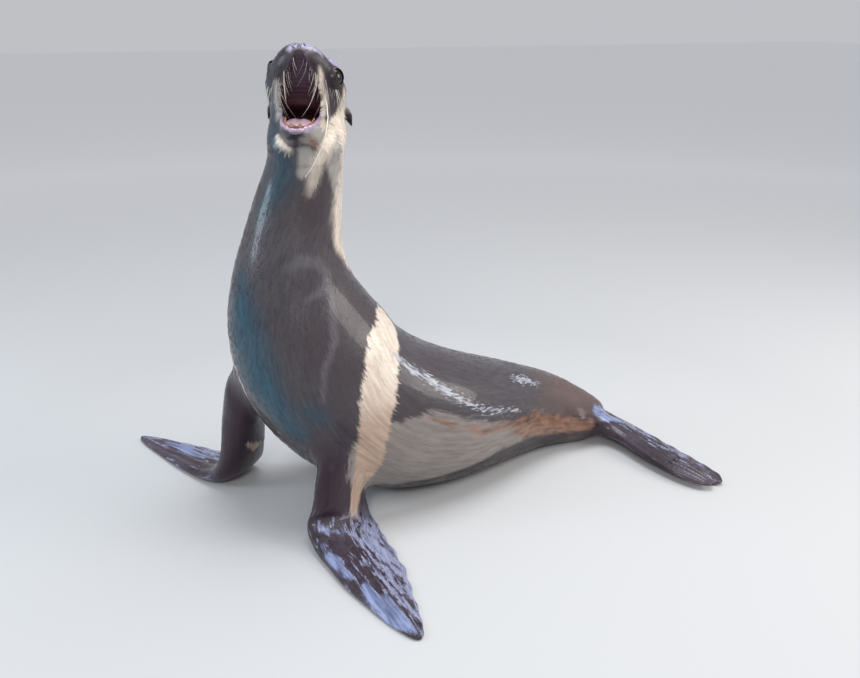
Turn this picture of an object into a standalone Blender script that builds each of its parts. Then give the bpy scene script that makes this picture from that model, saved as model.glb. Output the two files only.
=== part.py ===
"""A young female California sea lion, life size, barking with its muzzle up.

The animal props itself on its fore flippers, with its belly, hips and hind
flippers resting on the floor. X runs back along the body, so the head is
towards -X, its left side is towards -Y, and Z is up. The floor is at zero.
The skin is modelled as smooth lofts between named stations. Thin cuts divide it
into head, jaw, neck, chest, abdomen, hips, tail and limbs.
"""

import math
from collections import namedtuple

import bmesh
import bpy
import numpy as np

NAME = "sea_lion"
GAP = 0.0003

# Where the finished animal stands, moved from the frame that its stations use
SHIFT = np.array([-0.0676, 0.0911, 0.0])

# The trunk from tail to neck: the middle of each cross-section, its half width, how far the
# back rises and the belly drops from the middle, and its turn and roll in degrees
Station = namedtuple("Station", "x y z half_width rise drop turn roll")
TRUNK = {
    "tail_root": Station(0.590, 0.004, 0.048, 0.016, 0.014, 0.016, -10, 20),
    "rump": Station(0.545, 0.006, 0.056, 0.056, 0.052, 0.060, -6, 20),
    "hips": Station(0.430, 0.028, 0.094, 0.090, 0.084, 0.104, 0, 18),
    "loin": Station(0.315, 0.022, 0.120, 0.118, 0.108, 0.132, 3, 14),
    "waist": Station(0.205, 0.001, 0.140, 0.146, 0.131, 0.152, 6, 9),
    "belly": Station(0.095, -0.022, 0.164, 0.168, 0.149, 0.176, 10, 4),
    "ribs": Station(-0.020, -0.030, 0.202, 0.182, 0.164, 0.198, 15, 1),
    "chest": Station(-0.130, -0.032, 0.266, 0.186, 0.174, 0.194, 20, 0),
    "shoulder": Station(-0.200, -0.034, 0.360, 0.180, 0.168, 0.184, 25, 0),
    "withers": Station(-0.238, -0.036, 0.458, 0.156, 0.146, 0.152, 30, 0),
    "neck_low": Station(-0.250, -0.042, 0.545, 0.124, 0.122, 0.118, 38, 0),
    "neck_mid": Station(-0.243, -0.048, 0.628, 0.101, 0.101, 0.095, 47, 0),
    "neck_top": Station(-0.229, -0.054, 0.702, 0.089, 0.088, 0.080, 56, 0),
}
# Where each cut between two nodes of the trunk lies, in stations from the tail
HIPS_CUT, ABDOMEN_CUT, CHEST_CUT, NECK_CUT = 3.5, 6.5, 9.5, 13.5

# The head: where the nose is, which way the muzzle points, and how far the jaw is open
NOSE = np.array([-0.238, -0.149, 1.006])
HEAD_TURN, HEAD_UP, HEAD_ROLL, GAPE = 75.0, 63.0, 5.0, 62.0
JAW_HINGE_BACK = 0.160
# Where the mouth's corner lies from the hinge, midway between the jaws
CORNER_REACH, CORNER_HALF_WIDTH = 0.038, 0.036
CORNER_AHEAD = CORNER_REACH * math.cos(math.radians(GAPE / 2))
CORNER_BELOW = CORNER_REACH * math.sin(math.radians(GAPE / 2))

# Head sections: places behind and above the nose for the middle and the crown, and ahead of
# and above the jaw hinge for the throat
Skull = namedtuple("Skull", "back above crown_back crown_above throat_ahead throat_above half_width")
SKULL = {
    "nape": Skull(0.230, -0.030, 0.246, 0.056, 0.052, -0.096, 0.074),
    "poll": Skull(0.192, -0.018, 0.198, 0.068, 0.060, -0.074, 0.072),
    "cheek": Skull(0.158, -0.018, 0.150, 0.070, 0.066, -0.056, 0.075),
    "corner": Skull(JAW_HINGE_BACK - CORNER_AHEAD, -CORNER_BELOW, 0.108, 0.064, 0.072, -0.042, 0.082),
}
# Upper jaw from the corner of the mouth to the nose: lip, ridge and palate behind and above
# the nose, with the half widths of the muzzle and between the lips
Upper = namedtuple("Upper", "lip_back lip_above ridge_back ridge_above half_width lip_width palate_above")
UPPER_JAW = [
    Upper(JAW_HINGE_BACK - CORNER_AHEAD, -CORNER_BELOW, 0.108, 0.064, 0.082, CORNER_HALF_WIDTH, -0.002),
    Upper(0.104, -0.0180, 0.088, 0.059, 0.085, 0.038, 0.006),
    Upper(0.078, -0.0170, 0.068, 0.052, 0.081, 0.036, 0.008),
    Upper(0.052, -0.0170, 0.046, 0.046, 0.069, 0.029, 0.007),
    Upper(0.030, -0.0160, 0.026, 0.041, 0.055, 0.021, 0.004),
    Upper(0.013, -0.0110, 0.010, 0.034, 0.039, 0.014, 0.000),
    Upper(0.005, -0.0010, 0.003, 0.025, 0.021, 0.008, 0.002),
]
# Lower jaw from the corner of the mouth to the chin: lip, underside and floor ahead of and
# above the hinge, with the half widths of the jaw and between the lips
Lower = namedtuple("Lower", "lip_ahead lip_above chin_ahead chin_above half_width lip_width floor_above")
LOWER_JAW = [
    Lower(CORNER_AHEAD, CORNER_BELOW, 0.072, -0.042, 0.049, CORNER_HALF_WIDTH, -0.004),
    Lower(0.064, 0.0130, 0.088, -0.034, 0.042, 0.035, -0.008),
    Lower(0.094, 0.0090, 0.108, -0.027, 0.038, 0.032, -0.009),
    Lower(0.120, 0.0070, 0.126, -0.020, 0.031, 0.027, -0.007),
    Lower(0.138, 0.0040, 0.140, -0.012, 0.021, 0.018, -0.004),
    Lower(0.146, 0.0000, 0.146, -0.007, 0.011, 0.010, -0.003),
]
LIP = 0.006
THROAT_DEPTH = 0.045
TOOTH_ROOT = 0.006
LIP_TUCK = 3.0
# The turned neck fills the left cheek and flattens the right one
LEFT_CHEEK, RIGHT_CHEEK = 1.22, 0.97
FULLNESS = 2.15
HEAD_FULLNESS = 2.4

# Eyes, ears and nostrils: places behind, above and beside the nose
EYE_BACK, EYE_RADIUS = 0.066, 0.0190
EYE_ABOVE, EYE_BESIDE = {1: 0.013, -1: 0.029}, {1: 0.060, -1: 0.047}
EYE_LOOK = {1: (0.45, -0.45), -1: (0.35, -0.05)}
LID_THICKNESS, LID_HALF_LENGTH, LID_HALF_HEIGHT = 0.0032, 0.0165, 0.0122
BROW_RADII, BROW_BACK = (0.0330, 0.0190, 0.0205), 0.003
BROW_ABOVE, BROW_INWARD = {1: 0.016, -1: 0.009}, {1: 0.003, -1: 0.008}
EAR_BACK, EAR_ABOVE, EAR_BESIDE = 0.148, {1: 0.026, -1: 0.040}, {1: 0.084, -1: 0.061}
EAR_LENGTH, EAR_RADIUS, EAR_WALL = 0.034, 0.0092, 0.0016
NOSTRIL_BESIDE, NOSTRIL_LENGTH, NOSTRIL_WIDTH = 0.0085, 0.0110, 0.0036

# Fore limbs: the middle of each section, how far it reaches ahead and behind, its thickness
Limb = namedtuple("Limb", "x y z ahead behind thickness")
ARM_TURN = 27.0
FORE_LIMB = {
    "left": [
        Limb(-0.150, -0.085, 0.330, 0.060, 0.070, 0.110),
        Limb(-0.172, -0.130, 0.250, 0.056, 0.074, 0.092),
        Limb(-0.190, -0.164, 0.170, 0.056, 0.074, 0.074),
        Limb(-0.202, -0.184, 0.090, 0.064, 0.078, 0.058),
        Limb(-0.210, -0.207, 0.032, 0.078, 0.084, 0.044),
        Limb(-0.210, -0.262, 0.012, 0.078, 0.078, 0.029),
        Limb(-0.205, -0.335, 0.008, 0.072, 0.074, 0.021),
        Limb(-0.201, -0.410, 0.006, 0.063, 0.068, 0.017),
        Limb(-0.196, -0.485, 0.005, 0.046, 0.050, 0.014),
        Limb(-0.190, -0.550, 0.004, 0.031, 0.034, 0.012),
        Limb(-0.184, -0.598, 0.004, 0.014, 0.016, 0.010),
        Limb(-0.182, -0.612, 0.004, 0.004, 0.004, 0.006),
    ],
    "right": [
        Limb(-0.270, 0.048, 0.350, 0.060, 0.070, 0.110),
        Limb(-0.328, 0.064, 0.265, 0.060, 0.066, 0.092),
        Limb(-0.352, 0.080, 0.175, 0.054, 0.062, 0.074),
        Limb(-0.362, 0.092, 0.090, 0.056, 0.066, 0.058),
        Limb(-0.374, 0.118, 0.032, 0.066, 0.072, 0.044),
        Limb(-0.402, 0.165, 0.012, 0.068, 0.068, 0.029),
        Limb(-0.437, 0.220, 0.008, 0.062, 0.062, 0.021),
        Limb(-0.472, 0.276, 0.006, 0.052, 0.052, 0.017),
        Limb(-0.508, 0.332, 0.005, 0.038, 0.040, 0.014),
        Limb(-0.541, 0.384, 0.004, 0.025, 0.027, 0.012),
        Limb(-0.563, 0.418, 0.004, 0.012, 0.012, 0.010),
        Limb(-0.570, 0.428, 0.004, 0.004, 0.004, 0.006),
    ],
}
WRIST = 4.0
DIGIT_RIDGE, DIGITS = 0.0016, 5

# Hind limbs, with the slope of the foot in degrees in place of a shared turn
Foot = namedtuple("Foot", "x y z ahead behind thickness slope")
HIND_LIMB = {
    "left": [
        Foot(0.450, -0.020, 0.076, 0.052, 0.052, 0.094, -14),
        Foot(0.535, -0.020, 0.060, 0.042, 0.042, 0.062, -14),
        Foot(0.578, -0.052, 0.044, 0.035, 0.034, 0.042, -13),
        Foot(0.599, -0.108, 0.037, 0.034, 0.033, 0.026, -12),
        Foot(0.610, -0.175, 0.034, 0.037, 0.036, 0.018, -12),
        Foot(0.622, -0.240, 0.031, 0.037, 0.036, 0.014, -12),
        Foot(0.637, -0.300, 0.026, 0.033, 0.033, 0.012, -12),
        Foot(0.651, -0.346, 0.020, 0.022, 0.023, 0.010, -12),
        Foot(0.657, -0.364, 0.016, 0.006, 0.006, 0.006, -12),
    ],
    "right": [
        Foot(0.470, 0.050, 0.068, 0.050, 0.050, 0.090, -14),
        Foot(0.560, 0.034, 0.046, 0.040, 0.040, 0.056, -14),
        Foot(0.608, -0.012, 0.026, 0.033, 0.034, 0.034, -13),
        Foot(0.632, -0.082, 0.019, 0.033, 0.034, 0.021, -12),
        Foot(0.643, -0.156, 0.016, 0.035, 0.036, 0.015, -12),
        Foot(0.656, -0.226, 0.013, 0.034, 0.036, 0.012, -12),
        Foot(0.673, -0.290, 0.011, 0.031, 0.032, 0.011, -12),
        Foot(0.689, -0.336, 0.009, 0.021, 0.022, 0.009, -12),
        Foot(0.696, -0.354, 0.008, 0.006, 0.006, 0.006, -12),
    ],
}
ANKLE = 2.0

TAIL_LENGTH, TAIL_WIDTH, TAIL_THICKNESS = 0.046, 0.030, 0.017

WHISKER_ROWS, WHISKERS_A_ROW, WHISKER_THICKNESS = 4, 3, 0.0014
WHISKER_LENGTH = 0.075

AROUND_TRUNK, AROUND_HEAD, AROUND_ARM, AROUND_FOOT = 36, 36, 28, 24
ROWS_A_STATION = 3


def unit(vectors):
    vectors = np.asarray(vectors, float)
    return vectors / np.linalg.norm(vectors, axis=-1, keepdims=True)


def through(values, at):
    """A smooth curve through evenly numbered values, read at the given places."""
    values = np.asarray(values, float).reshape(len(values), -1)
    slope = np.gradient(values, axis=0)
    at = np.atleast_1d(np.asarray(at, float))
    low = np.clip(at.astype(int), 0, len(values) - 2)
    t = (at - low)[:, None]
    return (
        (2 * t**3 - 3 * t**2 + 1) * values[low]
        + (t**3 - 2 * t**2 + t) * slope[low]
        + (3 * t**2 - 2 * t**3) * values[low + 1]
        + (t**3 - t**2) * slope[low + 1]
    )


def ease(start, end, value):
    t = np.clip((np.asarray(value, float) - start) / (end - start), 0, 1)
    return t * t * (3 - 2 * t)


def round_power(angle, fullness):
    """Cosine and sine of an angle, swollen towards a square as the fullness passes 2."""
    power = 2 / fullness
    cosine, sine = np.cos(angle), np.sin(angle)
    return (
        np.sign(cosine) * np.abs(cosine) ** power,
        np.sign(sine) * np.abs(sine) ** power,
    )


def on_floor(points, softness):
    """Points lifted to the floor where they would sink into it, flat where they sink well in."""
    lifted = np.array(points, float)
    z = lifted[..., 2]
    pressed = (z + softness) ** 2 / (4 * softness)
    lifted[..., 2] = np.where(z >= softness, z, np.where(z <= -softness, 0, pressed))
    return lifted


# Frame of the head: forwards along the muzzle, to its left, and up through the crown
turn, tilt = math.radians(HEAD_TURN), math.radians(HEAD_UP)
level = np.array([-math.cos(turn), -math.sin(turn), 0])
HEAD_AHEAD = level * math.cos(tilt) + np.array([0, 0, math.sin(tilt)])
level_left = np.array([math.sin(turn), -math.cos(turn), 0])
roll = math.radians(HEAD_ROLL)
HEAD_UPWARD = np.cross(HEAD_AHEAD, level_left) * math.cos(roll) + level_left * math.sin(roll)
HEAD_LEFT = np.cross(HEAD_UPWARD, HEAD_AHEAD)


def head_point(back, above, beside=0.0):
    return (
        NOSE
        - np.multiply.outer(back, HEAD_AHEAD)
        + np.multiply.outer(above, HEAD_UPWARD)
        + np.multiply.outer(beside, HEAD_LEFT)
    )


# Frame of the lower jaw: it swings down from the hinge by the gape
HINGE = head_point(JAW_HINGE_BACK, 0.0)
gape = math.radians(GAPE)
JAW_AHEAD = math.cos(gape) * HEAD_AHEAD - math.sin(gape) * HEAD_UPWARD
JAW_UPWARD = math.sin(gape) * HEAD_AHEAD + math.cos(gape) * HEAD_UPWARD


def jaw_point(ahead, above):
    return HINGE + np.multiply.outer(ahead, JAW_AHEAD) + np.multiply.outer(above, JAW_UPWARD)


def body_rails():
    """Middle, left, right, top and low points of every section from the tail to the mouth."""
    stations = np.array(list(TRUNK.values()))
    middle = stations[:, :3]
    skull = np.array(list(SKULL.values()))
    head_middle = head_point(skull[:, 0], skull[:, 1])
    along = unit(np.gradient(np.vstack([middle, head_middle[:1]]), axis=0)[:-1])
    turns, rolls = np.radians(stations[:, 6]), np.radians(stations[:, 7:8])
    left = np.stack([np.sin(turns), -np.cos(turns), 0 * turns], 1)
    left = unit(left - (left * along).sum(1, keepdims=True) * along)
    up = np.cross(along, left)
    left, up = (
        left * np.cos(rolls) + up * np.sin(rolls),
        up * np.cos(rolls) - left * np.sin(rolls),
    )
    lean = np.array([0.4, 0.8, 1.0, 1.0])[:, None]
    left_cheek = HEAD_LEFT * skull[:, 6:7] * (1 + (LEFT_CHEEK - 1) * lean)
    right_cheek = HEAD_LEFT * skull[:, 6:7] * (1 + (RIGHT_CHEEK - 1) * lean)
    return (
        np.vstack([middle, head_middle]),
        np.vstack([middle + left * stations[:, 3:4], head_middle + left_cheek]),
        np.vstack([middle - left * stations[:, 3:4], head_middle - right_cheek]),
        np.vstack([middle + up * stations[:, 4:5], head_point(skull[:, 2], skull[:, 3])]),
        np.vstack([middle - up * stations[:, 5:6], jaw_point(skull[:, 4], skull[:, 5])]),
    )


def mouth_tuck(places, height, below, cheek):
    """How far the cheeks draw in towards the corner of the mouth, as a share of the width."""
    last = len(TRUNK) + len(SKULL) - 1
    near = ease(last - 1.7, last, places)[:, None]
    upper, lower = UPPER_JAW[0], LOWER_JAW[0]
    jowl = 1 - near * (1 - lower.half_width / upper.half_width) * ease(0, 0.5, height) * below
    lip = 1 - upper.lip_width / (upper.half_width * cheek)
    return jowl - near * lip * (1 - height) ** LIP_TUCK


def body_rows(places, around):
    """Closed cross-sections of the trunk and head; the angle runs from the left over the top."""
    middle, left, right, top, low = (through(rail, places) for rail in body_rails())
    angle = np.arange(around) * 2 * np.pi / around
    full = FULLNESS + (HEAD_FULLNESS - FULLNESS) * ease(12, 15, places)[:, None]
    cosine, sine = round_power(angle[None, :], full)
    cheek = np.where(cosine > 0, LEFT_CHEEK, RIGHT_CHEEK)
    cosine = cosine * mouth_tuck(places, np.abs(sine), sine < 0, cheek)
    side = np.where((cosine > 0)[..., None], (left - middle)[:, None], (right - middle)[:, None])
    rise = np.where((sine > 0)[..., None], (top - middle)[:, None], (low - middle)[:, None])
    rows = middle[:, None] + side * np.abs(cosine)[..., None] + rise * np.abs(sine)[..., None]
    return on_floor(rows, 0.006)


def body_direction(place):
    middle = body_rails()[0]
    return unit(through(middle, place + 0.05)[0] - through(middle, place - 0.05)[0])


def cheek_width(table, cosine, sine, near_corner):
    """Half widths of a jaw's outer arch, full above the lip and drawn in to it. The lean of
    the cheeks fades from the mouth's corner to the tip."""
    tuck = (table[:, 4:5] - table[:, 5:6]) * (1 - sine) ** LIP_TUCK
    cheek = np.where(cosine > 0, LEFT_CHEEK, RIGHT_CHEEK) - 1
    cheek = 1 + cheek * ease(0, 0.35, sine) * near_corner[:, None]
    return (table[:, 4:5] * cosine - tuck * np.sign(cosine)) * cheek


def upper_jaw_rows(places, half_around):
    """Outer and inner arches of the upper jaw, from its left lip over to its right one."""
    table = through(UPPER_JAW, places)
    near_corner = 1 - places / (len(UPPER_JAW) - 1)
    middle = head_point(table[:, 0], table[:, 1])
    ridge = head_point(table[:, 2], table[:, 3])
    palate = head_point(table[:, 0], table[:, 6])
    angle = np.linspace(0, np.pi, half_around + 1)
    cosine, sine = round_power(angle, HEAD_FULLNESS)
    outer = arch(middle, ridge, cheek_width(table, cosine, sine, near_corner), sine)
    inset = table[:, 5:6] - np.minimum(LIP, 0.3 * table[:, 5:6]) * ease(0, 0.3, np.sin(angle))
    vault, depth = round_power(angle, 3.2)
    return outer, arch(middle, palate, inset * vault, depth)


def lower_jaw_rows(places, half_around):
    """Outer and inner arches of the lower jaw, from its left lip under to its right one."""
    table = through(LOWER_JAW, places)
    near_corner = 1 - places / (len(LOWER_JAW) - 1)
    middle = jaw_point(table[:, 0], table[:, 1])
    chin = jaw_point(table[:, 2], table[:, 3])
    floor = jaw_point(table[:, 0], table[:, 6])
    angle = np.linspace(0, np.pi, half_around + 1)
    cosine, sine = round_power(angle, HEAD_FULLNESS)
    outer = arch(middle, chin, cheek_width(table, cosine, sine, near_corner), sine)
    inset = table[:, 5:6] - np.minimum(LIP, 0.3 * table[:, 5:6]) * ease(0, 0.3, np.sin(angle))
    vault, depth = round_power(angle, 3.2)
    return outer, arch(middle, floor, inset * vault, depth)


def arch(middle, crest, sideways, rise):
    return (
        middle[:, None]
        + sideways[..., None] * HEAD_LEFT
        + (crest - middle)[:, None] * rise[None, :, None]
    )


def limb_rows(table, places, around, turn=None):
    """Sections of a limb: thick and round at its leading edge, thin at its trailing one."""
    sizes = through(table, places)
    path = sizes[:, :3]
    fine = through(np.array(table)[:, :3], np.clip(places[:, None] + [-0.1, 0.1], 0, len(table) - 1).ravel())
    along = unit(fine[1::2] - fine[::2])
    if turn is None:
        flat = unit(np.cross(along, [0, 0, 1]))
        upright = np.cross(flat, along)
        slope = np.radians(sizes[:, 6:7])
        chord = flat * np.cos(slope) + upright * np.sin(slope)
    else:
        ahead = -np.array([math.cos(math.radians(turn)), math.sin(math.radians(turn)), 0])
        chord = unit(ahead - (along @ ahead)[:, None] * along)
    face = np.cross(chord, along)
    face *= np.where(face[-1:, 2:] < 0, -1, 1)
    angle = np.arange(around) * 2 * np.pi / around
    cosine, sine = np.cos(angle), np.sin(angle)
    across = np.where(cosine > 0, sizes[:, 3:4] * cosine, sizes[:, 4:5] * cosine)
    blade = ease(WRIST, WRIST + 2, places)[:, None]
    ridges = DIGIT_RIDGE * blade * np.clip(sine, 0, 1) * np.cos(np.pi * DIGITS * cosine)
    ridges *= ease(0.004, 0.014, sizes[:, 5:6])
    thick = sizes[:, 5:6] / 2 * sine * (1 + 0.35 * cosine) + ridges
    rows = path[:, None] + chord[:, None] * across[..., None] + face[:, None] * thick[..., None]
    return rows, along


def shifted(rows, along, start, end):
    """Rows whose first and last sections give up half of the gap at a cut."""
    rows = rows.copy()
    if start:
        rows[0] += along[0] * GAP / 2
    if end:
        rows[-1] -= along[-1] * GAP / 2
    return rows


def quads(rows, closed):
    """Corner numbers of the faces of one grid of points."""
    down, across = rows.shape[:2]
    row = np.arange(down - 1)[:, None] * across
    column = np.arange(across if closed else across - 1)[None, :]
    after = (column + 1) % across
    corners = np.stack([row + column, row + after, row + across + after, row + across + column], -1)
    return corners.reshape(-1, 4)


def lid_of(ring):
    """A flat end: the ring and its own middle, as two rows."""
    return np.stack([ring, np.repeat(ring.mean(0, keepdims=True), len(ring), 0)])


def surface(name, patches):
    """One mesh from grids of points that share borders, welded and facing out."""
    mesh = bpy.data.meshes.new(name)
    points, faces, first = [], [], 0
    for rows, closed in patches:
        points.append(rows.reshape(-1, 3) + SHIFT)
        faces.append(quads(rows, closed) + first)
        first += rows.shape[0] * rows.shape[1]
    mesh.from_pydata(np.vstack(points).tolist(), [], np.vstack(faces).tolist())
    shape = bmesh.new()
    shape.from_mesh(mesh)
    bmesh.ops.remove_doubles(shape, verts=shape.verts, dist=2e-5)
    bmesh.ops.recalc_face_normals(shape, faces=shape.faces)
    shape.to_mesh(mesh)
    shape.free()
    return bpy.data.objects.new(name, mesh)


def closed_loft(name, rows):
    return surface(name, [(rows, True), (lid_of(rows[0])[::-1], True), (lid_of(rows[-1]), True)])


def grown(source, distance):
    """A copy of a piece with its surface moved outwards, to cut a gap around it."""
    shape = bmesh.new()
    shape.from_mesh(source.data)
    bmesh.ops.triangulate(shape, faces=shape.faces)
    shape.normal_update()
    for vertex in shape.verts:
        vertex.co += vertex.normal * distance * vertex.calc_shell_factor()
    mesh = bpy.data.meshes.new(source.name + "_grown")
    shape.to_mesh(mesh)
    shape.free()
    copy = bpy.data.objects.new(mesh.name, mesh)
    copy.matrix_world = source.matrix_world
    return copy


def cutter(piece):
    """A piece grown by the gap, taking the place of the piece itself."""
    copy = grown(piece, GAP)
    bpy.data.objects.remove(piece)
    return copy


def combine(target, others, operation, solver="EXACT"):
    """Join pieces to the target, or cut them from it, and keep its largest closed surface."""
    tools = bpy.data.collections.new(target.name + "_tools")
    for other in others:
        tools.objects.link(other)
    modifier = target.modifiers.new("combine", "BOOLEAN")
    modifier.operation = operation
    modifier.operand_type = "COLLECTION"
    modifier.collection = tools
    modifier.solver = solver
    scene = bpy.context.scene.collection
    scene.objects.link(target)
    scene.children.link(tools)
    bpy.context.view_layer.update()
    graph = bpy.context.evaluated_depsgraph_get()
    mesh = bpy.data.meshes.new_from_object(target.evaluated_get(graph))
    scene.objects.unlink(target)
    scene.children.unlink(tools)
    target.modifiers.clear()
    target.data = mesh
    for other in others:
        bpy.data.objects.remove(other)
    bpy.data.collections.remove(tools)
    keep_largest(mesh)
    return target


def keep_largest(mesh):
    shape = bmesh.new()
    shape.from_mesh(mesh)
    left, groups = set(shape.verts), []
    while left:
        reached = [left.pop()]
        group = set(reached)
        while reached:
            vertex = reached.pop()
            near = {edge.other_vert(vertex) for edge in vertex.link_edges} - group
            group |= near
            reached += near
        left -= group
        groups.append(group)
    groups.sort(key=len)
    for group in groups[:-1]:
        bmesh.ops.delete(shape, geom=list(group), context="VERTS")
    bmesh.ops.triangulate(shape, faces=shape.faces)
    shape.to_mesh(mesh)
    shape.free()


def ball(name, centre, radii, axes, segments=16, rings=10):
    """An ellipsoid with its three radii along three axes."""
    shape = bmesh.new()
    bmesh.ops.create_uvsphere(shape, u_segments=segments, v_segments=rings, radius=1)
    mesh = bpy.data.meshes.new(name)
    for vertex in shape.verts:
        local = np.array(vertex.co) * radii
        vertex.co = centre + SHIFT + local @ np.array(axes)
    shape.normal_update()
    bmesh.ops.recalc_face_normals(shape, faces=shape.faces)
    shape.to_mesh(mesh)
    shape.free()
    return bpy.data.objects.new(name, mesh)


def tapered(name, path, radii, sides=5):
    """A thin closed form along a path of points, such as a tooth or a whisker."""
    path = np.asarray(path, float)
    along = unit(np.gradient(path, axis=0))
    across = unit(np.cross(along, HEAD_LEFT + 0.01))
    other = np.cross(along, across)
    angle = np.arange(sides) * 2 * np.pi / sides
    ring = across[:, None] * np.cos(angle)[None, :, None] + other[:, None] * np.sin(angle)[None, :, None]
    return closed_loft(name, path[:, None] + ring * np.asarray(radii)[:, None, None])


def finish(piece, colour, roughness, metallic=0.0, angle=40.0):
    """Give a finished piece its material and shading, and put it in the model's collection."""
    material = bpy.data.materials.new(piece.name)
    material.use_nodes = True
    shader = material.node_tree.nodes["Principled BSDF"]
    shader.inputs["Base Color"].default_value = (*colour, 1)
    shader.inputs["Roughness"].default_value = roughness
    shader.inputs["Metallic"].default_value = metallic
    piece.data.materials.clear()
    piece.data.materials.append(material)
    piece.data.shade_smooth()
    piece.data.set_sharp_from_angle(angle=math.radians(angle))
    bpy.data.collections[NAME].objects.link(piece)
    return piece


def trunk_places(start, end):
    return np.linspace(start, end, round((end - start) * ROWS_A_STATION) + 1)


def trunk_piece(name, start, end):
    """A length of the trunk, from one cut to the next, with flat ends."""
    rows = body_rows(trunk_places(start, end), AROUND_TRUNK)
    rows = shifted(rows, [body_direction(start), body_direction(end)], start > 0, True)
    return closed_loft(name, rows)


def whole_trunk():
    """The uncut trunk and neck, only to cut the limbs to its surface."""
    cuts = [0.0, HIPS_CUT, ABDOMEN_CUT, CHEST_CUT, NECK_CUT]
    places = np.unique(np.concatenate([trunk_places(*ends) for ends in zip(cuts, cuts[1:])]))
    return closed_loft("whole_trunk", body_rows(places, AROUND_TRUNK))


def mouth_corner_wall(half_around):
    """Three arcs across the corner of the mouth: under the jaw, its floor, and the palate."""
    outer, inner = lower_jaw_rows(np.array([0.0]), half_around)
    palate = upper_jaw_rows(np.array([0.0]), half_around)[1]
    return outer[0], inner[0], palate[0]


def head():
    """Skull, upper jaw and throat, from the cut at the neck to the nose."""
    half = AROUND_HEAD // 2
    corner_place = len(TRUNK) + len(SKULL) - 1.0
    places = np.linspace(NECK_CUT, corner_place, 13)
    skull = shifted(body_rows(places, AROUND_HEAD), [body_direction(NECK_CUT)], True, False)
    under, floor, palate = mouth_corner_wall(half)
    jaw_places = (1 - (1 - np.linspace(0, 1, 15)) ** 1.25) * (len(UPPER_JAW) - 1)
    outer, inner = upper_jaw_rows(jaw_places, half)
    # The last section of the skull is folded at the corner of the mouth, and meets both jaws
    skull[-1, : half + 1] = outer[0]
    skull[-1, half:] = under[::-1][:-1]
    skull[-1, half] = outer[0, -1]
    inward = unit(-JAW_AHEAD - 0.35 * HEAD_AHEAD)
    depth = np.array([0, 0.55, 0.9, 1.0, 0.85, 0.5, 0])[:, None, None]
    across = np.linspace(0, 1, 7)[:, None, None]
    hollow = np.sin(np.linspace(0, np.pi, half + 1))[None, :, None] ** 0.7
    throat = floor + (palate - floor) * across + inward * THROAT_DEPTH * depth * hollow
    return surface(
        "head",
        [
            (skull, True),
            (lid_of(skull[0]), True),
            (outer, False),
            (inner, False),
            (np.stack([under, floor]), False),
            (throat, False),
            (np.stack([outer[-1], inner[-1]]), False),
        ],
    )


def lower_jaw():
    """The lower jaw from the corner of the mouth to the chin."""
    half = AROUND_HEAD // 2
    places = np.linspace(0, 1, 11) ** 0.85 * (len(LOWER_JAW) - 1)
    outer, inner = lower_jaw_rows(places, half)
    under, floor, palate = mouth_corner_wall(half)
    ahead = unit(np.cross(HEAD_LEFT, palate[half // 2] - under[half // 2]))
    ahead *= np.sign(ahead @ JAW_AHEAD)
    outer[0] += ahead * GAP
    inner[0] += ahead * GAP
    return surface(
        "lower_jaw",
        [
            (outer, False),
            (inner, False),
            (np.stack([outer[0], inner[0]]), False),
            (np.stack([outer[-1], inner[-1]]), False),
        ],
    )


def teeth(upper):
    """Incisors, canines and cheek teeth of one jaw, as cones rooted in the gum."""
    count = len(UPPER_JAW) - 1 if upper else len(LOWER_JAW) - 1
    rows = upper_jaw_rows if upper else lower_jaw_rows
    direction = -HEAD_UPWARD if upper else JAW_UPWARD
    # How far along the jaw from the mouth's corner, share of the half width, length, radius
    kinds = [(0.90, 0.30, 0.0035, 0.0020), (0.84, 0.66, 0.0095, 0.0038)]
    kinds += [(share, 0.78, 0.0045, 0.0030) for share in (0.70, 0.58, 0.46, 0.34, 0.22)]
    pieces = []
    for share, inward, length, radius in kinds:
        outer, inner = rows(np.array([share * count]), 24)
        for side in (1, -1):
            lip = outer[0, 0] if side > 0 else outer[0, -1]
            middle = outer[0, [0, -1]].mean(0)
            root = middle + (lip - middle) * inward - direction * TOOTH_ROOT
            reach = TOOTH_ROOT + np.array([-TOOTH_ROOT, 0, length * 0.55, length])
            back = -(HEAD_AHEAD if upper else JAW_AHEAD)
            bend = np.array([0, 0, 0.04, 0.16]) * length
            path = root + reach[:, None] * direction + bend[:, None] * back
            radii = np.array([0.9, 1.0, 0.75, 0.14]) * radius
            pieces.append(tapered(f"tooth{len(pieces)}", path, radii))
    return pieces


def whiskers():
    """Stiff whiskers of both lip pads, swept back and hanging past the open mouth."""
    pieces = []
    random = np.random.default_rng(7)
    for side in (1, -1):
        for row in range(WHISKER_ROWS):
            for step in range(WHISKERS_A_ROW):
                place = len(UPPER_JAW) - 2.2 - 0.42 * step - 0.10 * row
                angle = math.radians(9 + 7 * row)
                outer = upper_jaw_rows(np.array([place]), 180)[0][0]
                index = round(math.degrees(angle)) if side > 0 else 180 - round(math.degrees(angle))
                root = outer[index]
                outward = unit(HEAD_LEFT * side + HEAD_UPWARD * 0.25 + HEAD_AHEAD * 0.15)
                length = WHISKER_LENGTH * (0.70 + 0.20 * step - 0.06 * row) * random.uniform(0.9, 1.15)
                t = np.linspace(0, 1, 4)[:, None]
                sweep = unit(outward * 0.40 - HEAD_AHEAD * 0.75 - HEAD_UPWARD * 0.45)
                droop = -HEAD_LEFT * side * 0.55 - HEAD_UPWARD * 0.25
                path = root - outward * 0.006 * (1 - t) + sweep * length * t + droop * length * 0.5 * t**2
                radii = WHISKER_THICKNESS / 2 * (1 - 0.72 * t[:, 0])
                pieces.append(tapered(f"whisker{len(pieces)}", path, radii, 3))
    return pieces


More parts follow.
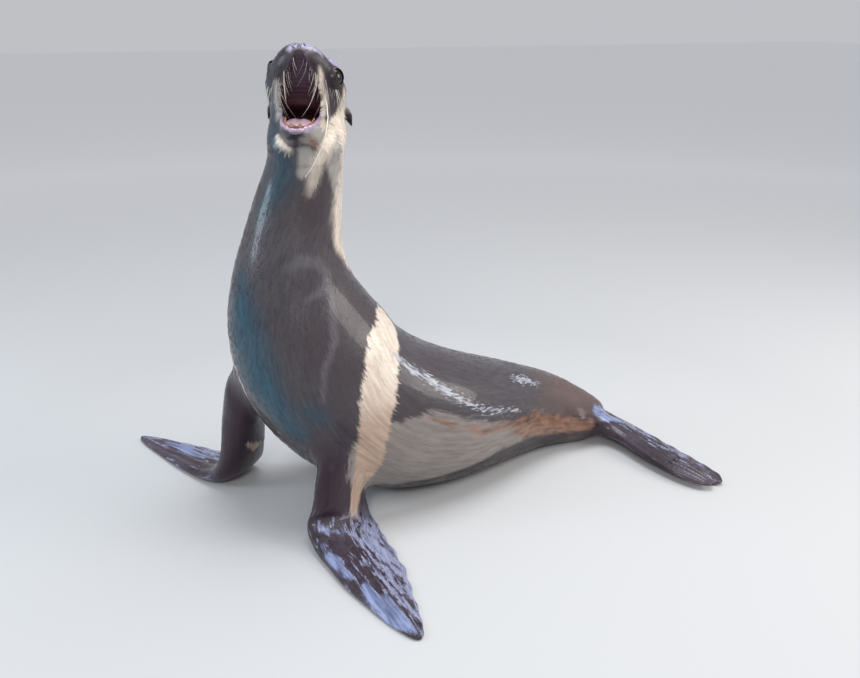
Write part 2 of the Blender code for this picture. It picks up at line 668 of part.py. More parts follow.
def eye_frame(side):
    """Centre of one eye, and its directions outwards, forwards and up along the lids."""
    centre = head_point(EYE_BACK, EYE_ABOVE[side], EYE_BESIDE[side] * side)
    ahead, up = EYE_LOOK[side]
    outward = unit(HEAD_LEFT * side + HEAD_AHEAD * ahead + HEAD_UPWARD * up)
    forward = unit(HEAD_AHEAD - (HEAD_AHEAD @ outward) * outward)
    return centre, outward, forward, np.cross(outward, forward)


def eye(side, name, radius):
    centre, outward, forward, up = eye_frame(side)
    return ball(name, centre, (radius, radius, radius), (forward, up, outward))


def brow(side):
    """The ridge over one eye, towards the crown."""
    centre, outward, forward, up = eye_frame(side)
    centre = centre - HEAD_AHEAD * BROW_BACK + HEAD_UPWARD * BROW_ABOVE[side]
    centre = centre - HEAD_LEFT * side * BROW_INWARD[side]
    return ball("brow", centre, BROW_RADII, (forward, up, outward))


def eye_opening(side):
    """An almond-shaped plug that opens the lids over the eye."""
    centre, outward, forward, up = eye_frame(side)
    radii = (LID_HALF_LENGTH, LID_HALF_HEIGHT, EYE_RADIUS + 2 * LID_THICKNESS)
    return ball("opening", centre + outward * EYE_RADIUS * 0.55, radii, (forward, up, outward))


def nostril(side):
    """A slit that runs down and outwards across the nose pad."""
    place = head_point(0.0035, 0.021, NOSTRIL_BESIDE * side)
    outward = unit(HEAD_AHEAD + HEAD_UPWARD * 0.45 + HEAD_LEFT * side * 0.4)
    long_way = unit(np.cross(outward, HEAD_LEFT * side * 0.9 + HEAD_UPWARD * 0.5))
    radii = (NOSTRIL_LENGTH / 2, NOSTRIL_WIDTH / 2, 0.009)
    axes = (long_way, np.cross(outward, long_way), outward)
    return ball("nostril", place, radii, axes, 12, 8)


def ear(side, name):
    """A small rolled ear: a cone with a slanted cup, pointing back and down the neck."""
    root = head_point(EAR_BACK, EAR_ABOVE[side], EAR_BESIDE[side] * side)
    along = unit(-HEAD_AHEAD * 0.90 + HEAD_LEFT * side * 0.34 - HEAD_UPWARD * 0.10)
    opens = unit(-HEAD_UPWARD - (-HEAD_UPWARD @ along) * along)
    across = np.cross(along, opens)
    angle = np.arange(16) * 2 * np.pi / 16
    faces_cup = (np.cos(angle) + 1) / 2

    def ring(share, radius, slant):
        """One ring of the cone; slant pulls its open side back towards the root."""
        reach = share * EAR_LENGTH * (1 - slant * faces_cup)
        flat = radius * np.stack([0.72 * np.cos(angle), np.sin(angle)], 1)
        return (
            root
            + along * reach[:, None]
            + opens * flat[:, :1]
            + across * flat[:, 1:]
            + opens * (0.10 * EAR_LENGTH * (reach[:, None] / EAR_LENGTH) ** 2)
        )

    wide = EAR_RADIUS
    thin = EAR_WALL
    rows = [ring(-0.25, wide * 0.75, 0), ring(0.0, wide * 0.9, 0), ring(0.2, wide, 0)]
    rows += [ring(0.45, wide * 0.92, 0.2), ring(0.7, wide * 0.72, 0.45), ring(1.0, wide * 0.34, 0.58)]
    rows += [ring(0.97, wide * 0.34 - thin * 0.55, 0.56), ring(0.66, wide * 0.72 - thin, 0.36)]
    rows += [ring(0.42, wide * 0.80 - thin, 0.12), ring(0.22, wide * 0.55 - thin, 0)]
    return closed_loft(name, np.array(rows))


def tongue():
    """The tongue, lying along the floor of the mouth."""
    ahead = np.linspace(0.060, 0.128, 8)
    share = np.linspace(0, 1, 8)
    half_width = 0.027 * np.sqrt(np.clip(1 - (share - 0.25) ** 2 / 0.62, 0.04, 1))
    height = 0.0085 * np.clip(1.15 - 1.02 * share**2, 0.2, 1)
    angle = np.arange(16) * 2 * np.pi / 16
    groove = 0.18 * np.exp(-((np.cos(angle) / 0.22) ** 2)) * (np.sin(angle) > 0)
    middle = jaw_point(ahead, -0.003 + 0.004 * share)
    rise = height[:, None] * (np.sin(angle) - groove)
    side = half_width[:, None] * np.cos(angle)
    rows = middle[:, None] + side[..., None] * HEAD_LEFT + rise[..., None] * JAW_UPWARD
    return closed_loft("tongue", rows)


def fore_limb(side):
    """The arm down to the wrist and the flipper beyond it, as two uncut pieces."""
    table = FORE_LIMB[side]
    arm_places = np.linspace(0, WRIST, 11)
    blade_places = np.linspace(WRIST, len(table) - 1, 20)
    arm, arm_along = limb_rows(table, arm_places, AROUND_ARM, ARM_TURN)
    blade, blade_along = limb_rows(table, blade_places, AROUND_ARM, ARM_TURN)
    arm[-1], blade_along[0] = blade[0], arm_along[-1]
    arm = on_floor(shifted(arm, arm_along, False, True), 0.002)
    blade = on_floor(shifted(blade, blade_along, True, False), 0.002)
    return (
        closed_loft(f"fore_limb_{side}", arm),
        closed_loft(f"fore_flipper_{side}", blade),
    )


def hind_limb(side):
    """The short hind leg down to the ankle and the flipper beyond it, as two uncut pieces."""
    table = HIND_LIMB[side]
    leg, leg_along = limb_rows(table, np.linspace(0, ANKLE, 7), AROUND_FOOT)
    foot, foot_along = limb_rows(table, np.linspace(ANKLE, len(table) - 1, 16), AROUND_FOOT)
    leg[-1], foot_along[0] = foot[0], leg_along[-1]
    leg = on_floor(shifted(leg, leg_along, False, True), 0.002)
    foot = on_floor(shifted(foot, foot_along, True, False), 0.002)
    return (
        closed_loft(f"hind_leg_{side}", leg),
        closed_loft(f"hind_flipper_{side}", foot),
    )


def tail():
    """The short flat tail between the hind legs."""
    root = np.array([0.560, 0.014, 0.080])
    along = unit([0.93, 0.26, -0.30])
    side = unit(np.cross(along, [0, 0, 1]))
    up = np.cross(side, along)
    share = np.linspace(0, 1, 8)
    width = TAIL_WIDTH / 2 * np.sqrt(np.clip(1 - share**2.2, 0.02, 1))
    thick = TAIL_THICKNESS / 2 * np.sqrt(np.clip(1 - share**2.2, 0.02, 1))
    angle = np.arange(16) * 2 * np.pi / 16
    rows = (
        root
        + along * (share * TAIL_LENGTH)[:, None, None]
        + side * (width[:, None] * np.cos(angle))[..., None]
        + up * (thick[:, None] * np.sin(angle))[..., None]
    )
    return closed_loft("tail", rows)


for old in list(bpy.data.objects):
    bpy.data.objects.remove(old)
model = bpy.data.collections.new(NAME)
bpy.context.scene.collection.children.link(model)

WET_BROWN = (0.085, 0.066, 0.060)
DARK_BROWN = (0.032, 0.022, 0.022)
FLIPPER = (0.050, 0.036, 0.045)
TAN = (0.30, 0.23, 0.18)
GUM = (0.34, 0.20, 0.24)

# Trunk, in lengths from the hips to the neck
finish(trunk_piece("hips", 0.0, HIPS_CUT), WET_BROWN, 0.25)
finish(trunk_piece("abdomen", HIPS_CUT, ABDOMEN_CUT), TAN, 0.25)
finish(trunk_piece("chest", ABDOMEN_CUT, CHEST_CUT), WET_BROWN, 0.25)
finish(trunk_piece("neck", CHEST_CUT, NECK_CUT), WET_BROWN, 0.25)

# Limbs, cut back to the trunk's surface where they leave it
for limb_side in ("left", "right"):
    arm, flipper = fore_limb(limb_side)
    finish(combine(arm, [cutter(whole_trunk())], "DIFFERENCE"), DARK_BROWN, 0.22)
    finish(flipper, FLIPPER, 0.2)
leg, foot = hind_limb("left")
right_leg, right_foot = hind_limb("right")
tail_cutters = [grown(piece, GAP) for piece in (leg, foot, right_leg, right_foot)]
leg_cutter, foot_cutter = grown(leg, GAP), grown(foot, GAP)
finish(combine(leg, [cutter(whole_trunk())], "DIFFERENCE"), DARK_BROWN, 0.22)
finish(foot, FLIPPER, 0.2)
finish(combine(right_leg, [cutter(whole_trunk()), leg_cutter], "DIFFERENCE"), DARK_BROWN, 0.22)
finish(combine(right_foot, [foot_cutter], "DIFFERENCE"), FLIPPER, 0.2)
tail_cutters.append(cutter(whole_trunk()))
finish(combine(tail(), tail_cutters, "DIFFERENCE"), DARK_BROWN, 0.25)

# Head with eyelids, nostrils, teeth and whiskers, then what sits in or on it
plain_head, jaw = head(), lower_jaw()
sides = (("left", 1), ("right", -1))
for side_name, side_sign in sides:
    small_ear = ear(side_sign, f"ear_{side_name}")
    finish(combine(small_ear, [grown(plain_head, GAP)], "DIFFERENCE"), DARK_BROWN, 0.35)
tongue_cutters = [grown(jaw, GAP), grown(plain_head, GAP)]
finish(combine(tongue(), tongue_cutters, "DIFFERENCE"), (0.52, 0.30, 0.32), 0.3)
finish(combine(jaw, teeth(False), "UNION"), DARK_BROWN, 0.3)
lids = [eye(sign, "lids", EYE_RADIUS + LID_THICKNESS) for _, sign in sides]
brows = [brow(sign) for _, sign in sides]
whole_head = combine(plain_head, [*lids, *brows, *teeth(True), *whiskers()], "UNION")
hollows = [eye(sign, "socket", EYE_RADIUS + GAP) for _, sign in sides]
hollows += [shape(sign) for shape in (eye_opening, nostril) for _, sign in sides]
finish(combine(whole_head, hollows, "DIFFERENCE"), WET_BROWN, 0.3)
for side_name, side_sign in sides:
    finish(eye(side_sign, f"eye_{side_name}", EYE_RADIUS), (0.01, 0.008, 0.008), 0.05)
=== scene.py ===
import math
from collections import namedtuple

import bmesh
import bpy
import numpy as np
from mathutils import Matrix


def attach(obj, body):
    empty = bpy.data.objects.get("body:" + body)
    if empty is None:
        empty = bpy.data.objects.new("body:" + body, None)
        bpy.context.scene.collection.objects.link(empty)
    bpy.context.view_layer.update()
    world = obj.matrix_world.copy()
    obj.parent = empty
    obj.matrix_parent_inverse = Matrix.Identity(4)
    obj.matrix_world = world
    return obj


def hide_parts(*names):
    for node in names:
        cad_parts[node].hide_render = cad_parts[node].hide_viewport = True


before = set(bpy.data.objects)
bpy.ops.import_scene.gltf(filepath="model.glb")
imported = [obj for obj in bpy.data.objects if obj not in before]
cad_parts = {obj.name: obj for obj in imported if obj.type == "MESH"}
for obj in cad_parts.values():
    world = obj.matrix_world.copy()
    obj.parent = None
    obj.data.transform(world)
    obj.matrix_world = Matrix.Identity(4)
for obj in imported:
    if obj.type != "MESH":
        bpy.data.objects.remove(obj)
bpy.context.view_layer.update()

# Camera, floor and light
# A studio set: the camera stands where the photo was taken from, a little above the head,
# over a plain pale floor under large soft lamps. None of it belongs to the animal.
AIM = np.array([-0.0676, -0.1189, 0.42])
CAMERA_TURN, CAMERA_TILT, CAMERA_REACH = math.radians(-22), math.radians(20), 1.9
LENS_MM, SENSOR_MM = 37.67, 36.0


def unit(vectors):
    vectors = np.asarray(vectors, float)
    return vectors / np.linalg.norm(vectors, axis=-1, keepdims=True)


def look_from(place, target, thing):
    """Place a camera or a lamp, level, with its -Z axis towards the target."""
    back = unit(np.subtract(place, target))
    right = unit(np.cross([0, 0, 1], back))
    matrix = np.eye(4)
    matrix[:3, :3] = np.stack([right, np.cross(back, right), back], 1)
    matrix[:3, 3] = place
    thing.matrix_world = Matrix(matrix.tolist())


camera_back = np.array([
    math.sin(CAMERA_TURN) * math.cos(CAMERA_TILT),
    -math.cos(CAMERA_TURN) * math.cos(CAMERA_TILT),
    math.sin(CAMERA_TILT),
])
camera = bpy.data.objects.new("camera", bpy.data.cameras.new("camera"))
camera.data.sensor_width = SENSOR_MM
camera.data.lens = LENS_MM
camera.data.clip_end = 60
bpy.context.scene.collection.objects.link(camera)
look_from(AIM + camera_back * CAMERA_REACH, AIM, camera)
bpy.context.scene.camera = camera


def new_material(name):
    material = bpy.data.materials.new(name)
    material.use_nodes = True
    return material, material.node_tree, material.node_tree.nodes["Principled BSDF"]


def set_inputs(node, inputs):
    """Inputs of a node linked or set, by name or number; a colour of three numbers is opaque."""
    for name, value in dict(inputs).items():
        socket = node.inputs[name]
        if isinstance(value, bpy.types.NodeSocket):
            tree.links.new(value, socket)
        else:
            socket.default_value = (*value, 1) if socket.type == "RGBA" else value


def add_node(kind, inputs=(), **settings):
    """A node with its settings and inputs, added to the tree of the material at hand."""
    node = tree.nodes.new(kind)
    for name, value in settings.items():
        setattr(node, name, value)
    set_inputs(node, inputs)
    return node


def mixed(factor, first, second):
    """A blend of two colours: the first where the factor is 0, the second where it is 1."""
    return add_node("ShaderNodeMix", {0: factor, 6: first, 7: second}, data_type="RGBA").outputs[2]


def own_place():
    return add_node("ShaderNodeTexCoord").outputs["Object"]


Lamp = namedtuple("Lamp", "name place target size strength colour")
LAMPS = [
    Lamp("overhead", (0.3, 0.1, 3.0), (0, 0, 0.2), 1.7, 54, (0.95, 0.97, 1.0)),
    Lamp("key", (-1.5, -2.6, 2.3), (-0.1, 0, 0.4), 1.0, 36, (1.0, 0.98, 0.95)),
    Lamp("right_rim", (2.3, -1.2, 1.6), (-0.1, 0, 0.6), 1.7, 40, (1.0, 0.95, 0.88)),
    Lamp("left_fill", (-2.6, 0.5, 1.3), (-0.2, 0, 0.5), 0.9, 19, (0.72, 0.87, 1.0)),
]
for lamp in LAMPS:
    light = bpy.data.lights.new(lamp.name, "AREA")
    light.shape, light.size = "DISK", lamp.size
    light.energy, light.color = lamp.strength, lamp.colour
    lamp_object = bpy.data.objects.new(lamp.name, light)
    bpy.context.scene.collection.objects.link(lamp_object)
    look_from(np.array(lamp.place), np.array(lamp.target), lamp_object)

world = bpy.data.worlds.new("studio")
world.use_nodes = True
set_inputs(world.node_tree.nodes["Background"], {"Color": (0.93, 0.95, 1.0), "Strength": 0.56})
bpy.context.scene.world = world
bpy.context.scene.view_settings.view_transform = "Standard"


def made(name, points, faces):
    """A new object at the origin with its mesh, linked into the scene."""
    mesh = bpy.data.meshes.new(name)
    mesh.from_pydata(np.asarray(points).tolist(), [], np.asarray(faces).tolist())
    piece = bpy.data.objects.new(name, mesh)
    bpy.context.scene.collection.objects.link(piece)
    return piece


FLOOR_HALF, FLOOR_CELLS, FLOOR_GAP = 26, 24, 0.0008
floor_places = np.linspace(-FLOOR_HALF, FLOOR_HALF, FLOOR_CELLS + 1)
floor_grid = np.stack(np.meshgrid(floor_places, floor_places, indexing="ij"), -1).reshape(-1, 2)
cell = np.arange(FLOOR_CELLS)
floor_corner = (cell[:, None] * (FLOOR_CELLS + 1) + cell).reshape(-1, 1)
floor = made(
    "floor",
    np.column_stack([floor_grid, np.full(len(floor_grid), -FLOOR_GAP)]),
    floor_corner + np.array([0, FLOOR_CELLS + 1, FLOOR_CELLS + 2, 1]),
)
floor_material, tree, shader = new_material("studio_floor")
cloud = add_node("ShaderNodeTexNoise", {"Scale": 1.4, "Detail": 3})
floor_tint = mixed(cloud.outputs["Fac"], (0.52, 0.53, 0.54), (0.57, 0.575, 0.58))
# The floor turns paler away from the lamps, so that it looks even
away = add_node("ShaderNodeVectorMath", {0: own_place()}, operation="LENGTH").outputs["Value"]
paler = add_node("ShaderNodeMapRange", {"Value": away, "From Min": 1.2, "From Max": 5.0})
floor_tint = mixed(paler.outputs[0], floor_tint, (0.93, 0.935, 0.94))
set_inputs(shader, {"Base Color": floor_tint, "Roughness": 0.6})
floor.data.materials.append(floor_material)

# Skin
# The hide of a young female sea lion: short wet fur over muscle and blubber, bare skin on the
# flippers, and the moist lining of the mouth. It is one closed surface: rings carried along
# the spine, jaws and limbs, fused at the limbs' roots and smoothed there so no seam shows.
SHIFT = np.array([-0.0676, 0.0911, 0.0])
# Sections from the tail to the neck, in millimetres: middle, half width, rise, drop; then the
# turn of the section and its roll, in degrees
TRUNK = np.array([
    (590, 4, 48, 16, 14, 16, -10, 20),  # tail root
    (545, 6, 56, 56, 52, 60, -6, 20),  # rump
    (430, 28, 94, 90, 84, 104, 0, 18),  # hips
    (315, 22, 120, 118, 108, 132, 3, 14),  # loin
    (205, 1, 140, 146, 131, 152, 6, 9),  # waist
    (95, -22, 164, 168, 149, 176, 10, 4),  # belly
    (-20, -30, 202, 182, 164, 198, 15, 1),  # ribs
    (-130, -32, 266, 186, 174, 194, 20, 0),  # chest
    (-200, -34, 360, 180, 168, 184, 25, 0),  # shoulder
    (-238, -36, 458, 156, 146, 152, 30, 0),  # withers
    (-250, -42, 545, 124, 122, 118, 38, 0),  # neck low
    (-243, -48, 628, 101, 101, 95, 47, 0),  # neck mid
    (-229, -54, 702, 89, 88, 80, 56, 0),  # neck top
], float)
TRUNK[:, :6] /= 1000
NOSE = np.array([-0.238, -0.149, 1.006])
HEAD_TURN, HEAD_UP, HEAD_ROLL, GAPE = 75.0, 63.0, 5.0, 62.0
JAW_HINGE_BACK = 0.160
CORNER_REACH, CORNER_HALF_WIDTH = 0.038, 0.036
CORNER_AHEAD = CORNER_REACH * math.cos(math.radians(GAPE / 2))
CORNER_BELOW = CORNER_REACH * math.sin(math.radians(GAPE / 2))
# Sections of the skull: middle and crown as back and above, throat as ahead and above, half width
SKULL = np.array([
    (0.230, -0.030, 0.246, 0.056, 0.052, -0.096, 0.074),  # nape
    (0.192, -0.018, 0.198, 0.068, 0.060, -0.074, 0.072),  # poll
    (0.158, -0.018, 0.150, 0.070, 0.066, -0.056, 0.075),  # cheek
    (JAW_HINGE_BACK - CORNER_AHEAD, -CORNER_BELOW, 0.108, 0.064, 0.072, -0.042, 0.082),  # corner
])
# Sections of the upper jaw: lip and ridge as back and above, half width, lip's half width, palate
UPPER_JAW = np.array([
    (JAW_HINGE_BACK - CORNER_AHEAD, -CORNER_BELOW, 0.108, 0.064, 0.082, CORNER_HALF_WIDTH, -0.002),
    (0.104, -0.018, 0.088, 0.059, 0.085, 0.038, 0.006),
    (0.078, -0.017, 0.068, 0.052, 0.081, 0.036, 0.008),
    (0.052, -0.017, 0.046, 0.046, 0.069, 0.029, 0.007),
    (0.030, -0.016, 0.026, 0.041, 0.055, 0.021, 0.004),
    (0.013, -0.011, 0.010, 0.034, 0.039, 0.014, 0.000),
    (0.005, -0.001, 0.003, 0.025, 0.021, 0.008, 0.002),
])
# Sections of the lower jaw: lip and chin as ahead and above, half width, lip's half width, floor
LOWER_JAW = np.array([
    (CORNER_AHEAD, CORNER_BELOW, 0.072, -0.042, 0.049, CORNER_HALF_WIDTH, -0.004),
    (0.064, 0.013, 0.088, -0.034, 0.042, 0.035, -0.008),
    (0.094, 0.009, 0.108, -0.027, 0.038, 0.032, -0.009),
    (0.120, 0.007, 0.126, -0.020, 0.031, 0.027, -0.007),
    (0.138, 0.004, 0.140, -0.012, 0.021, 0.018, -0.004),
    (0.146, 0.000, 0.146, -0.007, 0.011, 0.010, -0.003),
])
LIP, THROAT_DEPTH, LIP_TUCK, FOLD_DEPTH = 0.006, 0.045, 3.0, 0.0020
LEFT_CHEEK, RIGHT_CHEEK = 1.22, 0.97
FULLNESS, HEAD_FULLNESS = 2.15, 2.4
ARM_TURN = 27.0
BODY_SOFTNESS, LIMB_SOFTNESS = 0.006, 0.002
# Sections of the limbs from root to tip, in millimetres: middle, reach ahead and behind it,
# thickness; for the hind ones also the slope of the blade in degrees
FORE_LIMB = {
    "left": [
        (-150, -85, 330, 60, 70, 110), (-172, -130, 250, 56, 74, 92), (-190, -164, 170, 56, 74, 74),
        (-202, -184, 90, 64, 78, 58), (-210, -207, 32, 78, 84, 44), (-210, -262, 12, 78, 78, 29),
        (-205, -335, 8, 72, 74, 21), (-201, -410, 6, 63, 68, 17), (-196, -485, 5, 46, 50, 14),
        (-190, -550, 4, 31, 34, 12), (-184, -598, 4, 14, 16, 10), (-182, -612, 4, 4, 4, 6),
    ],
    "right": [
        (-270, 48, 350, 60, 70, 110), (-328, 64, 265, 60, 66, 92), (-352, 80, 175, 54, 62, 74),
        (-362, 92, 90, 56, 66, 58), (-374, 118, 32, 66, 72, 44), (-402, 165, 12, 68, 68, 29),
        (-437, 220, 8, 62, 62, 21), (-472, 276, 6, 52, 52, 17), (-508, 332, 5, 38, 40, 14),
        (-541, 384, 4, 25, 27, 12), (-563, 418, 4, 12, 12, 10), (-570, 428, 4, 4, 4, 6),
    ],
}
HIND_LIMB = {
    "left": [
        (450, -20, 76, 52, 52, 94, -14), (535, -20, 60, 42, 42, 62, -14), (578, -52, 44, 35, 34, 42, -13),
        (599, -108, 37, 34, 33, 26, -12), (610, -175, 34, 37, 36, 18, -12),
        (622, -240, 31, 37, 36, 14, -12), (637, -300, 26, 33, 33, 12, -12),
        (651, -346, 20, 22, 23, 10, -12), (657, -364, 16, 6, 6, 6, -12),
    ],
    "right": [
        (470, 50, 68, 50, 50, 90, -14), (560, 34, 46, 40, 40, 56, -14), (608, -12, 26, 33, 34, 34, -13),
        (632, -82, 19, 33, 34, 21, -12), (643, -156, 16, 35, 36, 15, -12), (656, -226, 13, 34, 36, 12, -12),
        (673, -290, 11, 31, 32, 11, -12), (689, -336, 9, 21, 22, 9, -12), (696, -354, 8, 6, 6, 6, -12),
    ],
}
FORE_LIMB = {side: np.array(rows) / 1000 for side, rows in FORE_LIMB.items()}
HIND_LIMB = {side: np.array(rows) / ([1000] * 6 + [1]) for side, rows in HIND_LIMB.items()}
WRIST, ANKLE, DIGITS = 4.0, 2.0, 5
DIGIT_RIDGE, CREASE_DEPTH, SCALLOP = 0.0019, 0.0006, 0.035
EYE_BACK, EYE_RADIUS = 0.066, 0.0190
EYE_ABOVE, EYE_BESIDE = {1: 0.013, -1: 0.029}, {1: 0.060, -1: 0.047}
EYE_LOOK = {1: (0.45, -0.45), -1: (0.35, -0.05)}
BROW_RADII, BROW_BACK = (0.0330, 0.0190, 0.0205), 0.003
BROW_ABOVE, BROW_INWARD = {1: 0.016, -1: 0.009}, {1: 0.003, -1: 0.008}
LID_THICKNESS, LID_HALF_LENGTH, LID_HALF_HEIGHT = 0.0032, 0.0165, 0.0122


def through(values, at):
    """A smooth curve through evenly numbered values: cubic pieces with central slopes."""
    values = np.asarray(values, float).reshape(len(values), -1)
    slope = np.gradient(values, axis=0)
    at = np.atleast_1d(np.asarray(at, float))
    low = np.clip(at.astype(int), 0, len(values) - 2)
    t = (at - low)[:, None]
    return (
        (2 * t**3 - 3 * t**2 + 1) * values[low]
        + (t**3 - 2 * t**2 + t) * slope[low]
        + (3 * t**2 - 2 * t**3) * values[low + 1]
        + (t**3 - t**2) * slope[low + 1]
    )


def circle(count):
    return np.arange(count) * 2 * np.pi / count


def lengths_along(path):
    """The length of a path from its start to each of its points."""
    return np.concatenate([[0], np.cumsum(np.linalg.norm(np.diff(path, axis=0), axis=1))])


def rounded_end(share, power, least=0.004):
    """The square root of 1 minus a power of the share: full at the start, round at the end."""
    return np.sqrt(np.clip(1 - share**power, least, 1))


def moved(origin, *moves):
    """The origin moved by lengths along directions, one after the other."""
    for length, direction in moves:
        origin = origin + length[..., None] * direction
    return origin


def ease(start, end, value):
    t = np.clip((np.asarray(value, float) - start) / (end - start), 0, 1)
    return t * t * (3 - 2 * t)


def round_power(angle, fullness):
    """Cosine and sine of an angle, swollen towards a square as the fullness passes 2."""
    power = 2 / fullness
    cosine, sine = np.cos(angle), np.sin(angle)
    return (
        np.sign(cosine) * np.abs(cosine) ** power,
        np.sign(sine) * np.abs(sine) ** power,
    )


def on_floor(points, softness):
    """Points lifted to the floor where they would sink into it, flat where they sink well in."""
    lifted = np.array(points, float)
    z = lifted[..., 2]
    pressed = (z + softness) ** 2 / (4 * softness)
    lifted[..., 2] = np.where(z >= softness, z, np.where(z <= -softness, 0, pressed))
    return lifted


turn, tilt, roll = (math.radians(angle) for angle in (HEAD_TURN, HEAD_UP, HEAD_ROLL))
level = np.array([-math.cos(turn), -math.sin(turn), 0])
level_left = np.array([math.sin(turn), -math.cos(turn), 0])
HEAD_AHEAD = level * math.cos(tilt) + np.array([0, 0, math.sin(tilt)])
HEAD_UPWARD = np.cross(HEAD_AHEAD, level_left) * math.cos(roll) + level_left * math.sin(roll)
HEAD_LEFT = np.cross(HEAD_UPWARD, HEAD_AHEAD)


def head_point(back, above, beside=0.0):
    """A place given by lengths back from the nose, above it and to the head's left."""
    back, above, beside = np.asarray(back), np.asarray(above), np.asarray(beside)
    return moved(NOSE, (-back, HEAD_AHEAD), (above, HEAD_UPWARD), (beside, HEAD_LEFT))


HINGE = head_point(JAW_HINGE_BACK, 0.0)
gape = math.radians(GAPE)
JAW_AHEAD = math.cos(gape) * HEAD_AHEAD - math.sin(gape) * HEAD_UPWARD
JAW_UPWARD = math.sin(gape) * HEAD_AHEAD + math.cos(gape) * HEAD_UPWARD


def jaw_point(ahead, above):
    """A place given by lengths ahead of the jaw's hinge and above it, in the open lower jaw."""
    return moved(HINGE, (np.asarray(ahead), JAW_AHEAD), (np.asarray(above), JAW_UPWARD))


def body_rails():
    """Middle, left, right, top and low points of every section from the tail to the mouth."""
    middle = TRUNK[:, :3]
    head_middle = head_point(SKULL[:, 0], SKULL[:, 1])
    along = unit(np.gradient(np.vstack([middle, head_middle[:1]]), axis=0)[:-1])
    turns, rolls = np.radians(TRUNK[:, 6]), np.radians(TRUNK[:, 7:8])
    left = np.stack([np.sin(turns), -np.cos(turns), 0 * turns], 1)
    left = unit(left - (left * along).sum(1, keepdims=True) * along)
    up = np.cross(along, left)
    left, up = (
        left * np.cos(rolls) + up * np.sin(rolls),
        up * np.cos(rolls) - left * np.sin(rolls),
    )
    lean = np.array([0.4, 0.8, 1.0, 1.0])[:, None]
    left_cheek = HEAD_LEFT * SKULL[:, 6:7] * (1 + (LEFT_CHEEK - 1) * lean)
    right_cheek = HEAD_LEFT * SKULL[:, 6:7] * (1 + (RIGHT_CHEEK - 1) * lean)
    return (
        np.vstack([middle, head_middle]),
        np.vstack([middle + left * TRUNK[:, 3:4], head_middle + left_cheek]),
        np.vstack([middle - left * TRUNK[:, 3:4], head_middle - right_cheek]),
        np.vstack([middle + up * TRUNK[:, 4:5], head_point(SKULL[:, 2], SKULL[:, 3])]),
        np.vstack([middle - up * TRUNK[:, 5:6], jaw_point(SKULL[:, 4], SKULL[:, 5])]),
    )


def mouth_tuck(places, height, below, cheek):
    """How far the cheeks draw in towards the corner of the mouth, as a share of the width."""
    near = ease(CORNER_PLACE - 1.7, CORNER_PLACE, places)
    upper_half, lower_half, lip_half = UPPER_JAW[0, 4], LOWER_JAW[0, 4], UPPER_JAW[0, 5]
    jowl = 1 - near * (1 - lower_half / upper_half) * ease(0, 0.5, height) * below
    lip = 1 - lip_half / (upper_half * cheek)
    return jowl - near * lip * (1 - height) ** LIP_TUCK


def body_points(places, angle):
    """The trunk's and head's surface: an angle of 0 is its left side and a quarter turn its back."""
    middle, left, right, top, low = (through(rail, places) for rail in body_rails())
    full = FULLNESS + (HEAD_FULLNESS - FULLNESS) * ease(12, 15, places)
    cosine, sine = round_power(angle, full)
    cheek = np.where(cosine > 0, LEFT_CHEEK, RIGHT_CHEEK)
    cosine = cosine * mouth_tuck(places, np.abs(sine), sine < 0, cheek)
    side = np.where((cosine > 0)[:, None], left - middle, right - middle)
    rise = np.where((sine > 0)[:, None], top - middle, low - middle)
    points = middle + side * np.abs(cosine)[:, None] + rise * np.abs(sine)[:, None]
    return on_floor(points, BODY_SOFTNESS)


def cheek_width(table, cosine, sine, near_corner):
    """Half widths of a jaw's outer arch, full above the lip and drawn in to it. The turned
    neck fills the left cheek and flattens the right one, less and less towards the tip."""
    tuck = (table[:, 4:5] - table[:, 5:6]) * (1 - sine) ** LIP_TUCK
    cheek = np.where(cosine > 0, LEFT_CHEEK, RIGHT_CHEEK) - 1
    cheek = 1 + cheek * ease(0, 0.35, sine) * near_corner[:, None]
    return (table[:, 4:5] * cosine - tuck * np.sign(cosine)) * cheek


def arch(middle, crest, sideways, rise):
    return (
        middle[:, None]
        + sideways[..., None] * HEAD_LEFT
        + (crest - middle)[:, None] * rise[None, :, None]
    )


def jaw_rows(table, frame_point, places, half_around):
    """Outer and inner arches of one jaw, from its left lip round to its right one."""
    near_corner = 1 - places / (len(table) - 1)
    table = through(table, places)
    middle = frame_point(table[:, 0], table[:, 1])
    crest = frame_point(table[:, 2], table[:, 3])
    vaulted = frame_point(table[:, 0], table[:, 6])
    angle = np.linspace(0, np.pi, half_around + 1)
    cosine, sine = round_power(angle, HEAD_FULLNESS)
    outer = arch(middle, crest, cheek_width(table, cosine, sine, near_corner), sine)
    inset = table[:, 5:6] - np.minimum(LIP, 0.3 * table[:, 5:6]) * ease(0, 0.3, np.sin(angle))
    vault, depth = round_power(angle, 3.2)
    return outer, arch(middle, vaulted, inset * vault, depth)


